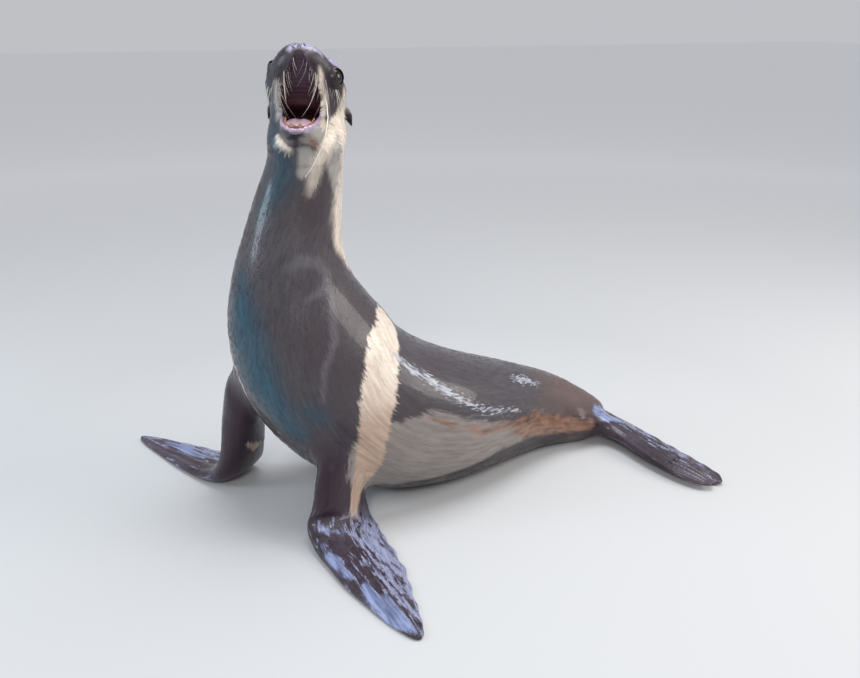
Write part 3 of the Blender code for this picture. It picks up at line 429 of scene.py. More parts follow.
def limb_rows(table, places, around, turn=None, root=WRIST):
    """Sections of a limb: thick and round at its leading edge, thin at its trailing one, with
    low ridges over the digits and a scalloped hind edge on the blade."""
    sizes = through(table, places)
    path = sizes[:, :3]
    ends = np.clip(places[:, None] + [-0.1, 0.1], 0, len(table) - 1).ravel()
    fine = through(table[:, :3], ends)
    along = unit(fine[1::2] - fine[::2])
    if turn is None:
        flat = unit(np.cross(along, [0, 0, 1]))
        upright = np.cross(flat, along)
        slope = np.radians(sizes[:, 6:7])
        chord = flat * np.cos(slope) + upright * np.sin(slope)
    else:
        ahead = -np.array([math.cos(math.radians(turn)), math.sin(math.radians(turn)), 0])
        chord = unit(ahead - (along @ ahead)[:, None] * along)
    face = np.cross(chord, along)
    face *= np.where(face[-1:, 2:] < 0, -1, 1)
    angle = circle(around)
    cosine, sine = np.cos(angle), np.sin(angle)
    blade = ease(root, root + 2, places)[:, None]
    scallop = 1 + SCALLOP * blade * np.sin(places[:, None] * 7.5) * ease(0.2, 1, -cosine)
    across = np.where(cosine > 0, sizes[:, 3:4] * cosine, sizes[:, 4:5] * cosine) * scallop
    fan = cosine[None, :] + 0.05 * np.sin(places[:, None] * 2.1)
    ridges = DIGIT_RIDGE * blade * np.clip(sine, 0, 1) * np.cos(np.pi * DIGITS * fan)
    creases = CREASE_DEPTH * ease(root - 1, root, places)[:, None] * np.sin(
        places[:, None] * 34 + 3.2 * np.sin(4.2 * cosine[None, :] + places[:, None] * 2.3)
    )
    ridges = ridges * ease(0.004, 0.014, sizes[:, 5:6]) + creases * sine * blade
    thick = sizes[:, 5:6] / 2 * sine * (1 + 0.35 * cosine) + ridges
    rows = moved(path[:, None], (across, chord[:, None]), (thick, face[:, None]))
    return on_floor(rows, LIMB_SOFTNESS)


def quads(down, across, closed):
    """Corner numbers of the faces of one grid of points."""
    row = np.arange(down - 1)[:, None] * across
    column = np.arange(across if closed else across - 1)[None, :]
    after = (column + 1) % across
    corners = np.stack([row + column, row + after, row + across + after, row + across + column], -1)
    return corners.reshape(-1, 4)


def lid_of(ring):
    """A closed end: the ring and its own middle, as two rows."""
    return np.stack([ring, np.repeat(ring.mean(0, keepdims=True), len(ring), 0)])


def closed(piece, gap):
    """Points nearer to each other than the gap are joined, and all faces turned outwards."""
    shape = bmesh.new()
    shape.from_mesh(piece.data)
    bmesh.ops.remove_doubles(shape, verts=shape.verts, dist=gap)
    bmesh.ops.recalc_face_normals(shape, faces=shape.faces)
    shape.to_mesh(piece.data)
    shape.free()
    return piece


def unwrap_with(mesh, places):
    layer = mesh.uv_layers.new(name="OFBake")
    layer.data.foreach_set("uv", places.astype(np.float32).ravel())


Patch = namedtuple("Patch", "rows closed flow zone atlas")


def welded(name, patches):
    """One closed mesh from grids of points that share borders, facing out. Each point carries
    its place on the straightened body (flow) and what it is (zone: bare, moist, limb), and
    each grid has its own rectangle of the unwrap."""
    points, faces, flows, zones, unwrap, first = [], [], [], [], [], 0
    for patch in patches:
        down, across = patch.rows.shape[:2]
        points.append(patch.rows.reshape(-1, 3) + SHIFT)
        faces.append(quads(down, across, patch.closed) + first)
        flows.append(np.broadcast_to(patch.flow, patch.rows.shape).reshape(-1, 3))
        zones.append(np.broadcast_to(patch.zone, patch.rows.shape).reshape(-1, 3))
        first += down * across
        columns = across if patch.closed else across - 1
        row, column = (grid.ravel()[:, None] for grid in np.mgrid[0 : down - 1, 0:columns])
        share = np.stack([(column + [0, 1, 1, 0]) / columns, (row + [0, 0, 1, 1]) / (down - 1)], -1)
        low, high = np.array(patch.atlas[:2]), np.array(patch.atlas[2:])
        unwrap.append((low + share * (high - low)).reshape(-1, 2))
    piece = made(name, np.vstack(points), np.vstack(faces))
    values = {"flow": np.vstack(flows), "zone": np.vstack(zones), "kept": np.ones(first)}
    set_values(piece.data, values)
    unwrap_with(piece.data, np.vstack(unwrap))
    return closed(piece, 1e-5)


def set_values(mesh, values):
    """Numbers or vectors kept with the points of a mesh, by name, for its material to read."""
    for name, value in values.items():
        value = np.asarray(value, np.float32)
        kind, field = ("FLOAT", "value") if value.ndim == 1 else ("FLOAT_VECTOR", "vector")
        found = mesh.attributes.get(name) or mesh.attributes.new(name, kind, "POINT")
        found.data.foreach_set(field, value.ravel())


def read(items, field, width, kind=np.float32):
    """A field of every item of a mesh, one row for each item."""
    found = np.empty(len(items) * width, kind)
    items.foreach_get(field, found)
    return found.reshape(-1, width)


def get_values(mesh, name):
    return read(mesh.attributes[name].data, "vector", 3).astype(float)


def vertices_of(mesh):
    return read(mesh.vertices, "co", 3).astype(float)


def capped_loft(name, rows, flow, zone, atlas):
    """A tube of rings closed at both ends; the ends take small corners of the unwrap."""
    start = lid_of(rows[0])[::-1]
    end = lid_of(rows[-1])
    left, low, right, high = atlas
    sliver = (high - low) * 0.02
    return welded(name, [
        Patch(rows, True, flow, zone, (left, low + sliver, right, high - sliver)),
        Patch(start, True, lid_of(flow[0])[::-1], lid_of(zone[0])[::-1], (left, low, right, low + sliver)),
        Patch(end, True, lid_of(flow[-1]), lid_of(zone[-1]), (left, high - sliver, right, high)),
    ])


def ball(name, centre, radii, axes, segments=56, rings=36):
    """An ellipsoid with its three radii along three axes, its poles on the third."""
    turn = circle(segments)
    rise = np.linspace(-np.pi / 2, np.pi / 2, rings + 1)[1:-1]
    level = np.stack([np.cos(turn), np.sin(turn)], -1)[None] * np.cos(rise)[:, None, None]
    local = np.concatenate([level, np.broadcast_to(np.sin(rise)[:, None, None], level[..., :1].shape)], -1)
    rows = (local * radii) @ np.array(axes) + centre
    return capped_loft(name, rows, rows, np.zeros_like(rows), (0.9, 0.9, 1.0, 1.0))


def fused(base, others, operation):
    """One Boolean of the base with the other pieces, which are used up."""
    tools = bpy.data.collections.new("tools")
    bpy.context.scene.collection.children.link(tools)
    for other in others:
        bpy.context.scene.collection.objects.unlink(other)
        tools.objects.link(other)
    modifier = base.modifiers.new("fuse", "BOOLEAN")
    modifier.operation, modifier.solver = operation, "MANIFOLD"
    modifier.operand_type, modifier.collection = "COLLECTION", tools
    bpy.context.view_layer.update()
    graph = bpy.context.evaluated_depsgraph_get()
    base.data = bpy.data.meshes.new_from_object(base.evaluated_get(graph))
    base.modifiers.clear()
    for other in others:
        bpy.data.objects.remove(other)
    bpy.data.collections.remove(tools)
    return base


def neighbour_sum(values, ends):
    """The sum over each vertex's neighbours, from the list of edges."""
    total = np.zeros_like(values)
    for column in range(values.shape[1]):
        total[:, column] += np.bincount(ends[:, 0], values[ends[:, 1], column], len(values))
        total[:, column] += np.bincount(ends[:, 1], values[ends[:, 0], column], len(values))
    return total


def relaxed(points, ends, weight, rounds):
    """Points moved towards their neighbours' mean, round after round, by their weights."""
    moving = weight > 0
    near = ends[moving[ends].any(1)]
    count = np.maximum(np.bincount(near.ravel(), minlength=len(points)), 1)[:, None]
    for _ in range(rounds):
        points = points + weight[:, None] * (neighbour_sum(points, near) / count - points)
    return points


def distance_to(points, targets, reach):
    """Distance from each point to the nearest target, worked out only within the reach."""
    found = np.full(len(points), reach, float)
    near = (points > targets.min(0) - reach).all(1) & (points < targets.max(0) + reach).all(1)
    index = np.nonzero(near)[0]
    for start in range(0, len(index), 4000):
        part = index[start : start + 4000]
        gaps = np.linalg.norm(points[part][:, None] - targets[None], axis=2).min(1)
        found[part] = np.minimum(gaps, reach)
    return found


AROUND, HALF = 160, 80
NECK_PLACE, CORNER_PLACE = len(TRUNK) - 1, len(TRUNK) + len(SKULL) - 1.0
body_places = np.concatenate([
    np.linspace(0, NECK_PLACE, 145), np.linspace(NECK_PLACE, CORNER_PLACE, 61)[1:],
])
body_angles = circle(AROUND)
grid_place, grid_angle = (
    grid.ravel() for grid in np.meshgrid(body_places, body_angles, indexing="ij")
)
body = body_points(grid_place, grid_angle).reshape(len(body_places), AROUND, 3)
# The loose skin of the nape folds where the head is thrown back
fold = ease(12.3, 12.9, grid_place) * ease(14.6, 14.0, grid_place) * ease(0.25, 0.8, np.sin(grid_angle))
fold_depth = FOLD_DEPTH * fold * np.sin(grid_place * 14 + 1.3 * np.cos(grid_angle))
fold_depth = fold_depth.reshape(body.shape[:2])
spine = body.mean(1, keepdims=True)
body += unit(body - spine) * fold_depth[..., None]
spine_length = lengths_along(spine[:, 0])
body_radius = np.linalg.norm(body - spine, axis=2)
body_flow = np.stack([
    np.broadcast_to(spine_length[:, None], body_radius.shape),
    body_radius * np.cos(body_angles),
    body_radius * np.sin(body_angles),
], -1)

upper_places = (1 - (1 - np.linspace(0, 1, 62)) ** 1.25) * (len(UPPER_JAW) - 1)
lower_places = np.linspace(0, 1, 50) ** 0.85 * (len(LOWER_JAW) - 1)
upper_outer, upper_inner = jaw_rows(UPPER_JAW, head_point, upper_places, HALF)
lower_outer, lower_inner = jaw_rows(LOWER_JAW, jaw_point, lower_places, HALF)
body[-1, : HALF + 1] = upper_outer[0]
body[-1, HALF:] = lower_outer[0][::-1][:-1]
body[-1, HALF] = upper_outer[0, -1]
# The throat closes the mouth's back: a bowl between the inner arches of the two jaws
inward = unit(-JAW_AHEAD - 0.35 * HEAD_AHEAD)
throat_share = np.linspace(0, 1, 22)[:, None, None]
throat_depth = np.sin(np.pi * throat_share) ** 0.6
throat_across = np.sin(np.linspace(0, np.pi, HALF + 1))[None, :, None] ** 0.7
throat = lower_inner[0] + (upper_inner[0] - lower_inner[0]) * throat_share
throat = throat + inward * THROAT_DEPTH * throat_depth * throat_across
throat[0], throat[-1] = lower_inner[0], upper_inner[0]


def jaw_flow(rows, ahead, upward):
    """Places on a jaw as lengths ahead of the mouth's corner, to its left and above it."""
    local = rows - head_point(JAW_HINGE_BACK - CORNER_AHEAD, -CORNER_BELOW)
    return np.stack([spine_length[-1] + local @ ahead, local @ HEAD_LEFT, local @ upward], -1)


upper_flow = [jaw_flow(rows, HEAD_AHEAD, HEAD_UPWARD) for rows in (upper_outer, upper_inner)]
lower_flow = [jaw_flow(rows, JAW_AHEAD, JAW_UPWARD) for rows in (lower_outer, lower_inner)]
FURRED, MOIST = (0, 0, 0), (0, 1, 0)
skin = welded("skin", [
    Patch(body, True, body_flow, FURRED, (0.01, 0.01, 0.49, 0.60)),
    Patch(lid_of(body[0]), True, lid_of(body_flow[0]), FURRED, (0.01, 0.0, 0.49, 0.01)),
    Patch(upper_outer, False, upper_flow[0], FURRED, (0.01, 0.62, 0.24, 0.80)),
    Patch(upper_inner, False, upper_flow[1], MOIST, (0.26, 0.62, 0.49, 0.80)),
    Patch(lower_outer, False, lower_flow[0], FURRED, (0.01, 0.82, 0.24, 0.99)),
    Patch(lower_inner, False, lower_flow[1], MOIST, (0.26, 0.82, 0.49, 0.99)),
    Patch(throat, False, throat, MOIST, (0.51, 0.92, 0.69, 0.99)),
    *[
        Patch(np.stack([outer[-1], inner[-1]]), False, np.stack([flow[0][-1], flow[1][-1]]), FURRED, atlas)
        for outer, inner, flow, atlas in (
            (upper_outer, upper_inner, upper_flow, (0.01, 0.805, 0.24, 0.812)),
            (lower_outer, lower_inner, lower_flow, (0.26, 0.805, 0.49, 0.812)),
        )
    ],
])


def limb_flow(rows, away):
    """Places on a limb as lengths along its middle, across it and through it, set apart from
    the other limbs by a distance of their own."""
    middle = rows.mean(1, keepdims=True)
    along = lengths_along(middle[:, 0])
    chord = unit(rows[:, :1] - middle)
    local = rows - middle
    across = (local * chord).sum(-1)
    through_it = np.linalg.norm(local - across[..., None] * chord, axis=-1)
    return np.stack([np.broadcast_to(along[:, None], across.shape) + away, across, through_it], -1)


def limb_zone(places, rows, furred_to):
    """Fur on the limb's root, bare skin on its blade, past a place along it."""
    bare = ease(furred_to - 0.6, furred_to + 0.6, places)[:, None]
    shape = rows.shape[:2]
    return np.stack([np.broadcast_to(bare, shape), np.zeros(shape), np.ones(shape)], -1)


ARM_PLACES = np.linspace(0.3, 11, 150)
FOOT_PLACES = np.linspace(0, 8, 112)
limbs = []
for number, side in enumerate(("left", "right")):
    for kind, table, places, around, turn, joint, apart, left in (
        ("arm", FORE_LIMB, ARM_PLACES, 76, ARM_TURN, WRIST, 3, 0.51),
        ("foot", HIND_LIMB, FOOT_PLACES, 60, None, ANKLE, 5, 0.76),
    ):
        rows = limb_rows(table[side], places, around, turn, joint)
        atlas = (left + 0.12 * number, 0.01, left + 0.11 + 0.12 * number, 0.44)
        zone = limb_zone(places, rows, joint)
        limbs.append(capped_loft(kind, rows, limb_flow(rows, apart + number), zone, atlas))
# The tail is a flat lobe, hidden behind the ankles from the camera
TAIL_LENGTH, TAIL_WIDTH, TAIL_THICKNESS = 0.046, 0.030, 0.017
tail_root = np.array([0.560, 0.014, 0.080])
tail_along = unit([0.93, 0.26, -0.30])
tail_side = unit(np.cross(tail_along, [0, 0, 1]))
tail_up = np.cross(tail_side, tail_along)
tail_share = np.linspace(0, 1, 26)
tail_half = rounded_end(tail_share, 2.2)[:, None] / 2
tail_angle = circle(32)
tail_rows = moved(
    tail_root,
    (tail_share[:, None] * TAIL_LENGTH, tail_along),
    (TAIL_WIDTH * tail_half * np.cos(tail_angle), tail_side),
    (TAIL_THICKNESS * tail_half * np.sin(tail_angle), tail_up),
)
limbs.append(capped_loft("tail", tail_rows, tail_rows, np.zeros_like(tail_rows), (0.71, 0.92, 0.79, 0.99)))


def eye_frame(side):
    """Centre of one eye, and its directions outwards, forwards and up along the lids."""
    centre = head_point(EYE_BACK, EYE_ABOVE[side], EYE_BESIDE[side] * side)
    ahead, up = EYE_LOOK[side]
    outward = unit(HEAD_LEFT * side + HEAD_AHEAD * ahead + HEAD_UPWARD * up)
    forward = unit(HEAD_AHEAD - (HEAD_AHEAD @ outward) * outward)
    return centre, outward, forward, np.cross(outward, forward)


def eye_ball(name, side, radius):
    centre, outward, forward, up = eye_frame(side)
    return ball(name, centre, (radius, radius, radius), (forward, up, outward))


EAR_BACK, EAR_ABOVE, EAR_BESIDE = 0.148, {1: 0.026, -1: 0.040}, {1: 0.084, -1: 0.061}
EAR_LENGTH, EAR_RADIUS, EAR_WALL = 0.034, 0.0092, 0.0016
EAR_SHADE = [0.011, 0.014, 0.015, 0.014]


def ear_rows(side):
    """A small rolled ear: a cone along the neck whose cup is slanted towards the cheek. The
    outer wall runs out to the tip and the inner wall runs back down into the cup."""
    root = head_point(EAR_BACK, EAR_ABOVE[side], EAR_BESIDE[side] * side)
    along = unit(-HEAD_AHEAD * 0.90 + HEAD_LEFT * side * 0.34 - HEAD_UPWARD * 0.10)
    opens = unit(-HEAD_UPWARD - (-HEAD_UPWARD @ along) * along)
    across = np.cross(along, opens)
    angle = circle(40)
    thin, wide = EAR_WALL, EAR_RADIUS
    # share of the length, radius and slant of the cup: up the outer wall, then down the inner one
    table = np.array([
        (-0.25, wide * 0.75, 0), (0.0, wide * 0.9, 0), (0.2, wide, 0), (0.45, wide * 0.92, 0.2),
        (0.7, wide * 0.72, 0.45), (1.0, wide * 0.34, 0.58), (0.97, wide * 0.34 - thin * 0.55, 0.56),
        (0.66, wide * 0.72 - thin, 0.36), (0.42, wide * 0.80 - thin, 0.12), (0.22, wide * 0.55 - thin, 0),
    ])
    table = through(table, np.concatenate([np.linspace(0, 5, 31), np.linspace(6, 9, 19)]))
    share, radius, slant = table[:, 0:1], table[:, 1:2], table[:, 2:3]
    reach = share * EAR_LENGTH * (1 - slant * (np.cos(angle) + 1) / 2)
    bend = 0.72 * radius * np.cos(angle) + 0.10 * EAR_LENGTH * (reach / EAR_LENGTH) ** 2
    sideways = radius * np.sin(angle)
    return moved(root, (reach, along), (bend, opens), (sideways, across))


ear_paths = []
growths = limbs + [eye_ball("lid", side, EYE_RADIUS + LID_THICKNESS) for side in (1, -1)]
for side in (1, -1):
    centre, outward, forward, up = eye_frame(side)
    centre = centre - HEAD_AHEAD * BROW_BACK + HEAD_UPWARD * BROW_ABOVE[side]
    centre = centre - HEAD_LEFT * side * BROW_INWARD[side]
    growths.append(ball("brow", centre, BROW_RADII, (forward, up, outward)))
    rows = ear_rows(side)
    ear_middle = rows.mean(1)[[6, 15, 24, 30]]
    ear_paths.append(np.column_stack([ear_middle, EAR_SHADE]))
    growths.append(capped_loft("ear", rows, rows, np.zeros_like(rows), (0.81, 0.92, 0.89, 0.99)))
fused(skin, growths, "UNION")


NOSTRIL_BACK, NOSTRIL_ABOVE, NOSTRIL_BESIDE = 0.0035, 0.021, 0.0085
NOSTRIL_RADII, SOCKET_GAP = (0.0065, 0.0022, 0.009), 0.0003


def nostril(side):
    """A slit that runs down and outwards across the nose pad."""
    place = head_point(NOSTRIL_BACK, NOSTRIL_ABOVE, NOSTRIL_BESIDE * side)
    outward = unit(HEAD_AHEAD + HEAD_UPWARD * 0.45 + HEAD_LEFT * side * 0.4)
    long_way = unit(np.cross(outward, HEAD_LEFT * side * 0.9 + HEAD_UPWARD * 0.5))
    axes = (long_way, np.cross(outward, long_way), outward)
    return ball("nostril", place, NOSTRIL_RADII, axes, 24, 16)


def eye_opening(side):
    """An almond-shaped plug that opens the lids over the eye."""
    centre, outward, forward, up = eye_frame(side)
    radii = (LID_HALF_LENGTH, LID_HALF_HEIGHT, EYE_RADIUS + 2 * LID_THICKNESS)
    return ball("opening", centre + outward * EYE_RADIUS * 0.55, radii, (forward, up, outward))


# Points that the fusing made lie on the seams, where the skin is smoothed and takes its values
# from the points round it: widely at the shoulders, less at the feet, hardly at all on the head
points = vertices_of(skin.data)
ends = read(skin.data.edges, "vertices", 2, np.int32)
kept = read(skin.data.attributes["kept"].data, "value", 1)[:, 0]
seam = points[kept < 0.5]
on_head = seam[:, 2] > 0.8
at_feet = ~on_head & (seam[:, 0] > 0.3)
weight = np.zeros(len(points))
ROOT_REACH, FOOT_REACH, HEAD_REACH = 0.055, 0.030, 0.010
for group, reach, rounds in (
    (~on_head & ~at_feet, ROOT_REACH, 110), (at_feet, FOOT_REACH, 50), (on_head, HEAD_REACH, 14),
):
    away = distance_to(points, seam[group], reach)
    points = relaxed(points, ends, 0.9 * ease(reach, 0.3 * reach, away), rounds)
near_seam = distance_to(points, seam, 0.02)
near_root = distance_to(points, seam[~on_head], ROOT_REACH)
# The cheeks are eased round the corners of the mouth, but not its lips or anything ahead of them
CHEEK_REACH, LIP_REACH = 0.095, 0.014
lips = SHIFT + np.concatenate([rows[:, end] for rows in (upper_outer, lower_outer) for end in (0, -1)])
mouth_corners = upper_outer[0][[0, -1]] + SHIFT
creased = ease(CHEEK_REACH, 0.045, distance_to(points, mouth_corners, CHEEK_REACH))
creased *= (
    ease(0.004, LIP_REACH, distance_to(points, lips, LIP_REACH))
    * ease(-0.05, 0.0, (SHIFT + HINGE - points) @ HEAD_AHEAD)
)
points = relaxed(points, ends, 0.8 * creased, 24)
known = kept > 0.5
for name in ("flow", "zone"):
    value = get_values(skin.data, name)
    share = neighbour_sum(known[:, None].astype(float), ends)
    filled = neighbour_sum(value * known[:, None], ends) / np.maximum(share, 1)
    value[~known] = filled[~known]
    if name == "zone":
        rooted = 0.9 * ease(ROOT_REACH, 0.02, near_root) * (value[:, 1] < 0.5)
        value = relaxed(value, ends, rooted, 60)
    set_values(skin.data, {name: value})
set_values(skin.data, {"settled": ease(0.002, 0.015, near_seam)})
skin.data.vertices.foreach_set("co", points.astype(np.float32).ravel())
fused(skin, [cutter(side) for side in (1, -1) for cutter in (nostril, eye_opening)], "DIFFERENCE")
fused(skin, [eye_ball("socket", side, EYE_RADIUS + SOCKET_GAP) for side in (1, -1)], "DIFFERENCE")
FLESH = [
    "hips", "abdomen", "chest", "neck", "head", "lower_jaw", "tail", "ear_left", "ear_right",
    "fore_limb_left", "fore_limb_right", "fore_flipper_left", "fore_flipper_right",
    "hind_leg_left", "hind_leg_right", "hind_flipper_left", "hind_flipper_right",
]


def inside_band(points, path):
    """How far each point lies inside a band along a path of places with half widths."""
    path = np.array(path, float)
    depth = np.full(len(points), -9.0)
    for start, end in zip(path[:-1], path[1:]):
        way = end[:3] - start[:3]
        share = np.clip((points - start[:3]) @ way / (way @ way), 0, 1)
        away = np.linalg.norm(points - start[:3] - share[:, None] * way, axis=1)
        depth = np.maximum(depth, start[3] + (end[3] - start[3]) * share - away)
    return depth


def soft(depth, reach=0.04):
    """A depth turned into a share: one half on the edge, 1 well inside and 0 well outside."""
    return np.clip(0.5 + depth / (2 * reach), 0, 1)


# Bands of colour, painted light and shade among them: lists of paths, each of x, y, z and half width in
# millimetres
BANDS = {
    "cream": [
        # left side of the neck, from its root up to the jaw
        [
            (-146, -72, 540, 8), (-146, -76, 600, 32), (-142, -74, 640, 60), (-142, -70, 700, 62),
            (-142, -70, 760, 52), (-140, -75, 810, 42), (-142, -92, 850, 26), (-140, -101, 890, 12),
        ],
        # cheek beside the mouth, then the edge behind the eye and down the neck
        [
            (-203, -153, 970, 3), (-197, -148, 952, 7), (-194, -141, 929, 9), (-192, -131, 906, 10),
            (-194, -124, 884, 12), (-204, -160, 866, 13),
        ],
        [
            (-148, -128, 932, 2), (-144, -118, 905, 9), (-146, -118, 872, 14), (-151, -131, 822, 13),
            (-147, -104, 778, 16), (-147, -91, 725, 18),
        ],
        # streaks from the ear and the jaw down the throat
        [
            (-140, -101, 890, 10), (-163, -119, 862, 14), (-187, -144, 839, 15), (-206, -147, 798, 12),
            (-220, -134, 754, 6), (-227, -132, 730, 0),
        ],
        [(-281, -110, 841, 6), (-272, -126, 829, 10), (-264, -136, 819, 4)],
        # back of the right arm, and a thin pale rim low on the chest's right side
        [(-354, 51, 119, 4), (-337, 70, 99, 10), (-319, 88, 97, 6)],
        [
            (-386, -15, 377, 1), (-381, -45, 341, 4), (-367, -61, 289, 5), (-339, -82, 241, 4),
            (-305, -115, 206, 1),
        ],
    ],
    "shoulder": [
        [
            (-56, -80, 476, 10), (-66, -120, 435, 36), (-96, -175, 395, 46), (-117, -210, 320, 43),
            (-133, -219, 223, 34), (-138, -210, 166, 32), (-146, -198, 120, 28), (-172, -210, 50, 16),
            (-188, -224, 20, 5),
        ],
    ],
    "belly": [
        [
            (-90, -215, 150, 100), (0, -200, 142, 104), (120, -175, 112, 84), (200, -155, 100, 66),
            (260, -125, 92, 42),
        ],
    ],
    "tan": [
        # left side of the jaw and upper neck, patch on the throat, jaw, cheek right of the mouth
        [(-196, -140, 862, 14), (-182, -138, 826, 24), (-172, -126, 770, 14), (-172, -120, 720, 4)],
        [(-237, -148, 821, 11), (-228, -146, 800, 21), (-238, -133, 772, 9)],
        [(-246, -209, 856, 14), (-226, -185, 850, 23), (-208, -160, 842, 20)],
        [(-273, -115, 942, 7), (-272, -101, 912, 11), (-267, -91, 880, 10)],
    ],
    # painted reflection: a blue-green glow of water and sky on the chest and the neck
    "teal_reflection": [
        [
            (-360, -70, 560, 10), (-369, -80, 512, 34), (-372, -98, 432, 58), (-357, -123, 360, 56),
            (-330, -145, 296, 46), (-294, -158, 240, 30),
        ],
        [(-262, -195, 290, 12), (-246, -206, 278, 10)],
        [
            (-283, -90, 925, 10), (-280, -74, 889, 12), (-284, -90, 860, 14), (-278, -121, 814, 12),
            (-272, -115, 780, 18), (-289, -99, 737, 16), (-312, -83, 690, 4),
        ],
    ],
    "lilac": [
        # painted sheen on the nose pad and the brow, then a painted highlight at the ankle
        [(-250, -134, 1006, 7), (-235, -132, 1011, 10), (-218, -136, 1011, 10), (-195, -146, 995, 4)],
        [(-178, -126, 985, 6), (-162, -123, 978, 10), (-150, -122, 966, 7)],
        [(538, -40, 92, 16), (570, -46, 78, 22), (606, -56, 60, 12)],
        # painted sheen on the blades of the fore flippers: leading edge, tip and wrist of the left one,
        # then the right one
        [(-272, -283, 23, 3), (-264, -334, 18, 10), (-253, -384, 16, 10), (-242, -408, 14, 3)],
        [
            (-230, -435, 13, 6), (-221, -481, 13, 17), (-212, -523, 12, 19), (-200, -568, 9, 14),
            (-183, -595, 10, 6),
        ],
        [(-268, -238, 41, 2), (-251, -253, 34, 7), (-223, -258, 30, 3)],
        [(-505, 355, 12, 10), (-461, 266, 16, 14), (-425, 208, 20, 5)],
    ],
    "dark": [
        [(-237, -144, 996, 12), (-234, -136, 978, 20)],
        [(-262, -130, 999, 4), (-271, -124, 981, 9), (-277, -112, 957, 4)],
        [(-219, -158, 988, 4), (-214, -156, 972, 11), (-208, -148, 958, 5)],
        [(-250, -146, 988, 4), (-262, -134, 970, 13), (-272, -118, 950, 6)],
        [(-286, -198, 861, 8), (-272, -204, 852, 12), (-260, -217, 859, 7)],
    ],
    # painted shade along the bottom of the belly, where it faces the floor
    "underside": [
        [
            (-40, -150, 20, 46), (100, -130, 15, 70), (210, -130, 36, 56), (300, -100, 36, 48),
            (420, -60, 20, 36),
        ],
    ],
    "rust": [
        [(235, -128, 132, 10), (305, -107, 112, 32), (415, -75, 80, 30), (505, -60, 62, 14)],
        [(-243, -209, 853, 2), (-226, -178, 839, 7), (-214, -154, 826, 5)],
        # broken line along the flank
        [
            (-20, -209, 237, -2), (20, -207, 225, 3), (134, -184, 167, 6), (231, -144, 149, 6),
            (324, -96, 147, 5), (480, -62, 88, 4),
        ],
    ],
    "line": [
        [
            (-277, -149, 588, 8), (-257, -151, 601, 12), (-220, -150, 593, 12), (-199, -148, 565, 11),
            (-217, -162, 536, 9), (-250, -166, 524, 6),
        ],
    ],
    "ridge": [
        [
            (-196, -160, 530, 4), (-201, -173, 498, 8), (-203, -196, 441, 8), (-231, -211, 385, 7),
            (-240, -213, 315, 4),
        ],
    ],
    # painted highlights: broken wet glints along the flank and on the hip
    "glint": [
        [
            (-85, -165, 396, -4), (-65, -170, 379, 3), (-31, -172, 345, 5), (15, -174, 310, 5),
            (85, -180, 253, 5), (167, -166, 204, 3), (268, -122, 173, -4),
        ],
        [(268, -73, 236, 1), (312, -60, 221, 8), (350, -51, 200, 1)],
    ],
}
BANDS = {name: [np.array(path) / 1000 for path in paths] for name, paths in BANDS.items()}
lower_lip = np.concatenate([lower_outer[:, 0], lower_outer[::-1, -1]])[::3]
lower_lip = np.column_stack([lower_lip, np.full(len(lower_lip), 0.0050)])
EYE_RING = 0.0285
MIRROR_PLANE = -0.035


def deepest(points, paths):
    return np.maximum.reduce([inside_band(points, path) for path in paths])


def markings(points):
    """The coat's markings and painted light at places on the body, each as a share to be roughened at its
    edge.
    Those of the trunk are on both sides, mirrored about its middle."""
    mirrored = points * [1, -1, 1] + [0, 2 * MIRROR_PLANE, 0]
    trunk = ease(0.60, 0.54, points[:, 2])

    def depth(*names, twice=()):
        found = [deepest(points, BANDS[name]) for name in (*names, *twice)]
        return np.maximum.reduce(found + [deepest(mirrored, BANDS[name]) for name in twice])

    eyes = [EYE_RING - np.linalg.norm(points - eye_frame(side)[0], axis=1) for side in (1, -1)]
    dark = np.maximum.reduce([depth("dark", twice=["underside"]), *eyes, deepest(points, ear_paths)])
    rust = np.maximum(depth("rust"), inside_band(mirrored, BANDS["rust"][0]))
    # Painted sheen and highlights, and the lilac rim of the lower lip, which is its own colour
    lilac = np.maximum(depth("lilac"), inside_band(points, lower_lip))
    glint = np.where(trunk > 0.5, depth("glint"), -0.04)
    cream, tan = depth("cream", twice=["shoulder"]), depth("tan", twice=["belly"])
    return {
        "marks": np.stack([soft(cream), soft(tan), soft(depth("teal_reflection"), 0.06)], 1),
        "shades": np.stack([soft(lilac), soft(dark), soft(rust)], 1),
        "lines": np.stack([soft(depth("line", "ridge")), soft(glint), ease(0.28, 0.46, points[:, 0])], 1),
    }


set_values(skin.data, markings(vertices_of(skin.data) - SHIFT))


def separated(vector):
    return add_node("ShaderNodeSeparateXYZ", {0: vector}).outputs


def attribute(name):
    return add_node("ShaderNodeAttribute", attribute_name=name).outputs


def maths(operation, *values):
    return add_node("ShaderNodeMath", dict(enumerate(values)), operation=operation).outputs[0]


def plus(first, second):
    return maths("ADD", first, second)


def minus(first, second):
    return maths("SUBTRACT", first, second)


def times(first, second):
    return maths("MULTIPLY", first, second)


def step(value, low, high, start=0.0, end=1.0):
    """A smooth rise from the start to the end as the value passes from low to high."""
    inputs = {"Value": value, "From Min": low, "From Max": high, "To Min": start, "To Max": end}
    return add_node("ShaderNodeMapRange", inputs, interpolation_type="SMOOTHSTEP").outputs[0]


def toned(value, first, second):
    """A blend from the first colour to the second as the value passes through its middle."""
    return mixed(step(value, 0.3, 0.7), first, second)


def noise(vector, scale, detail=3.0, roughness=0.55):
    inputs = {"Vector": vector, "Scale": scale, "Detail": detail, "Roughness": roughness}
    return add_node("ShaderNodeTexNoise", inputs).outputs["Fac"]


def stretched(vector, scales):
    return add_node("ShaderNodeVectorMath", {0: vector, 1: scales}, operation="MULTIPLY").outputs[0]


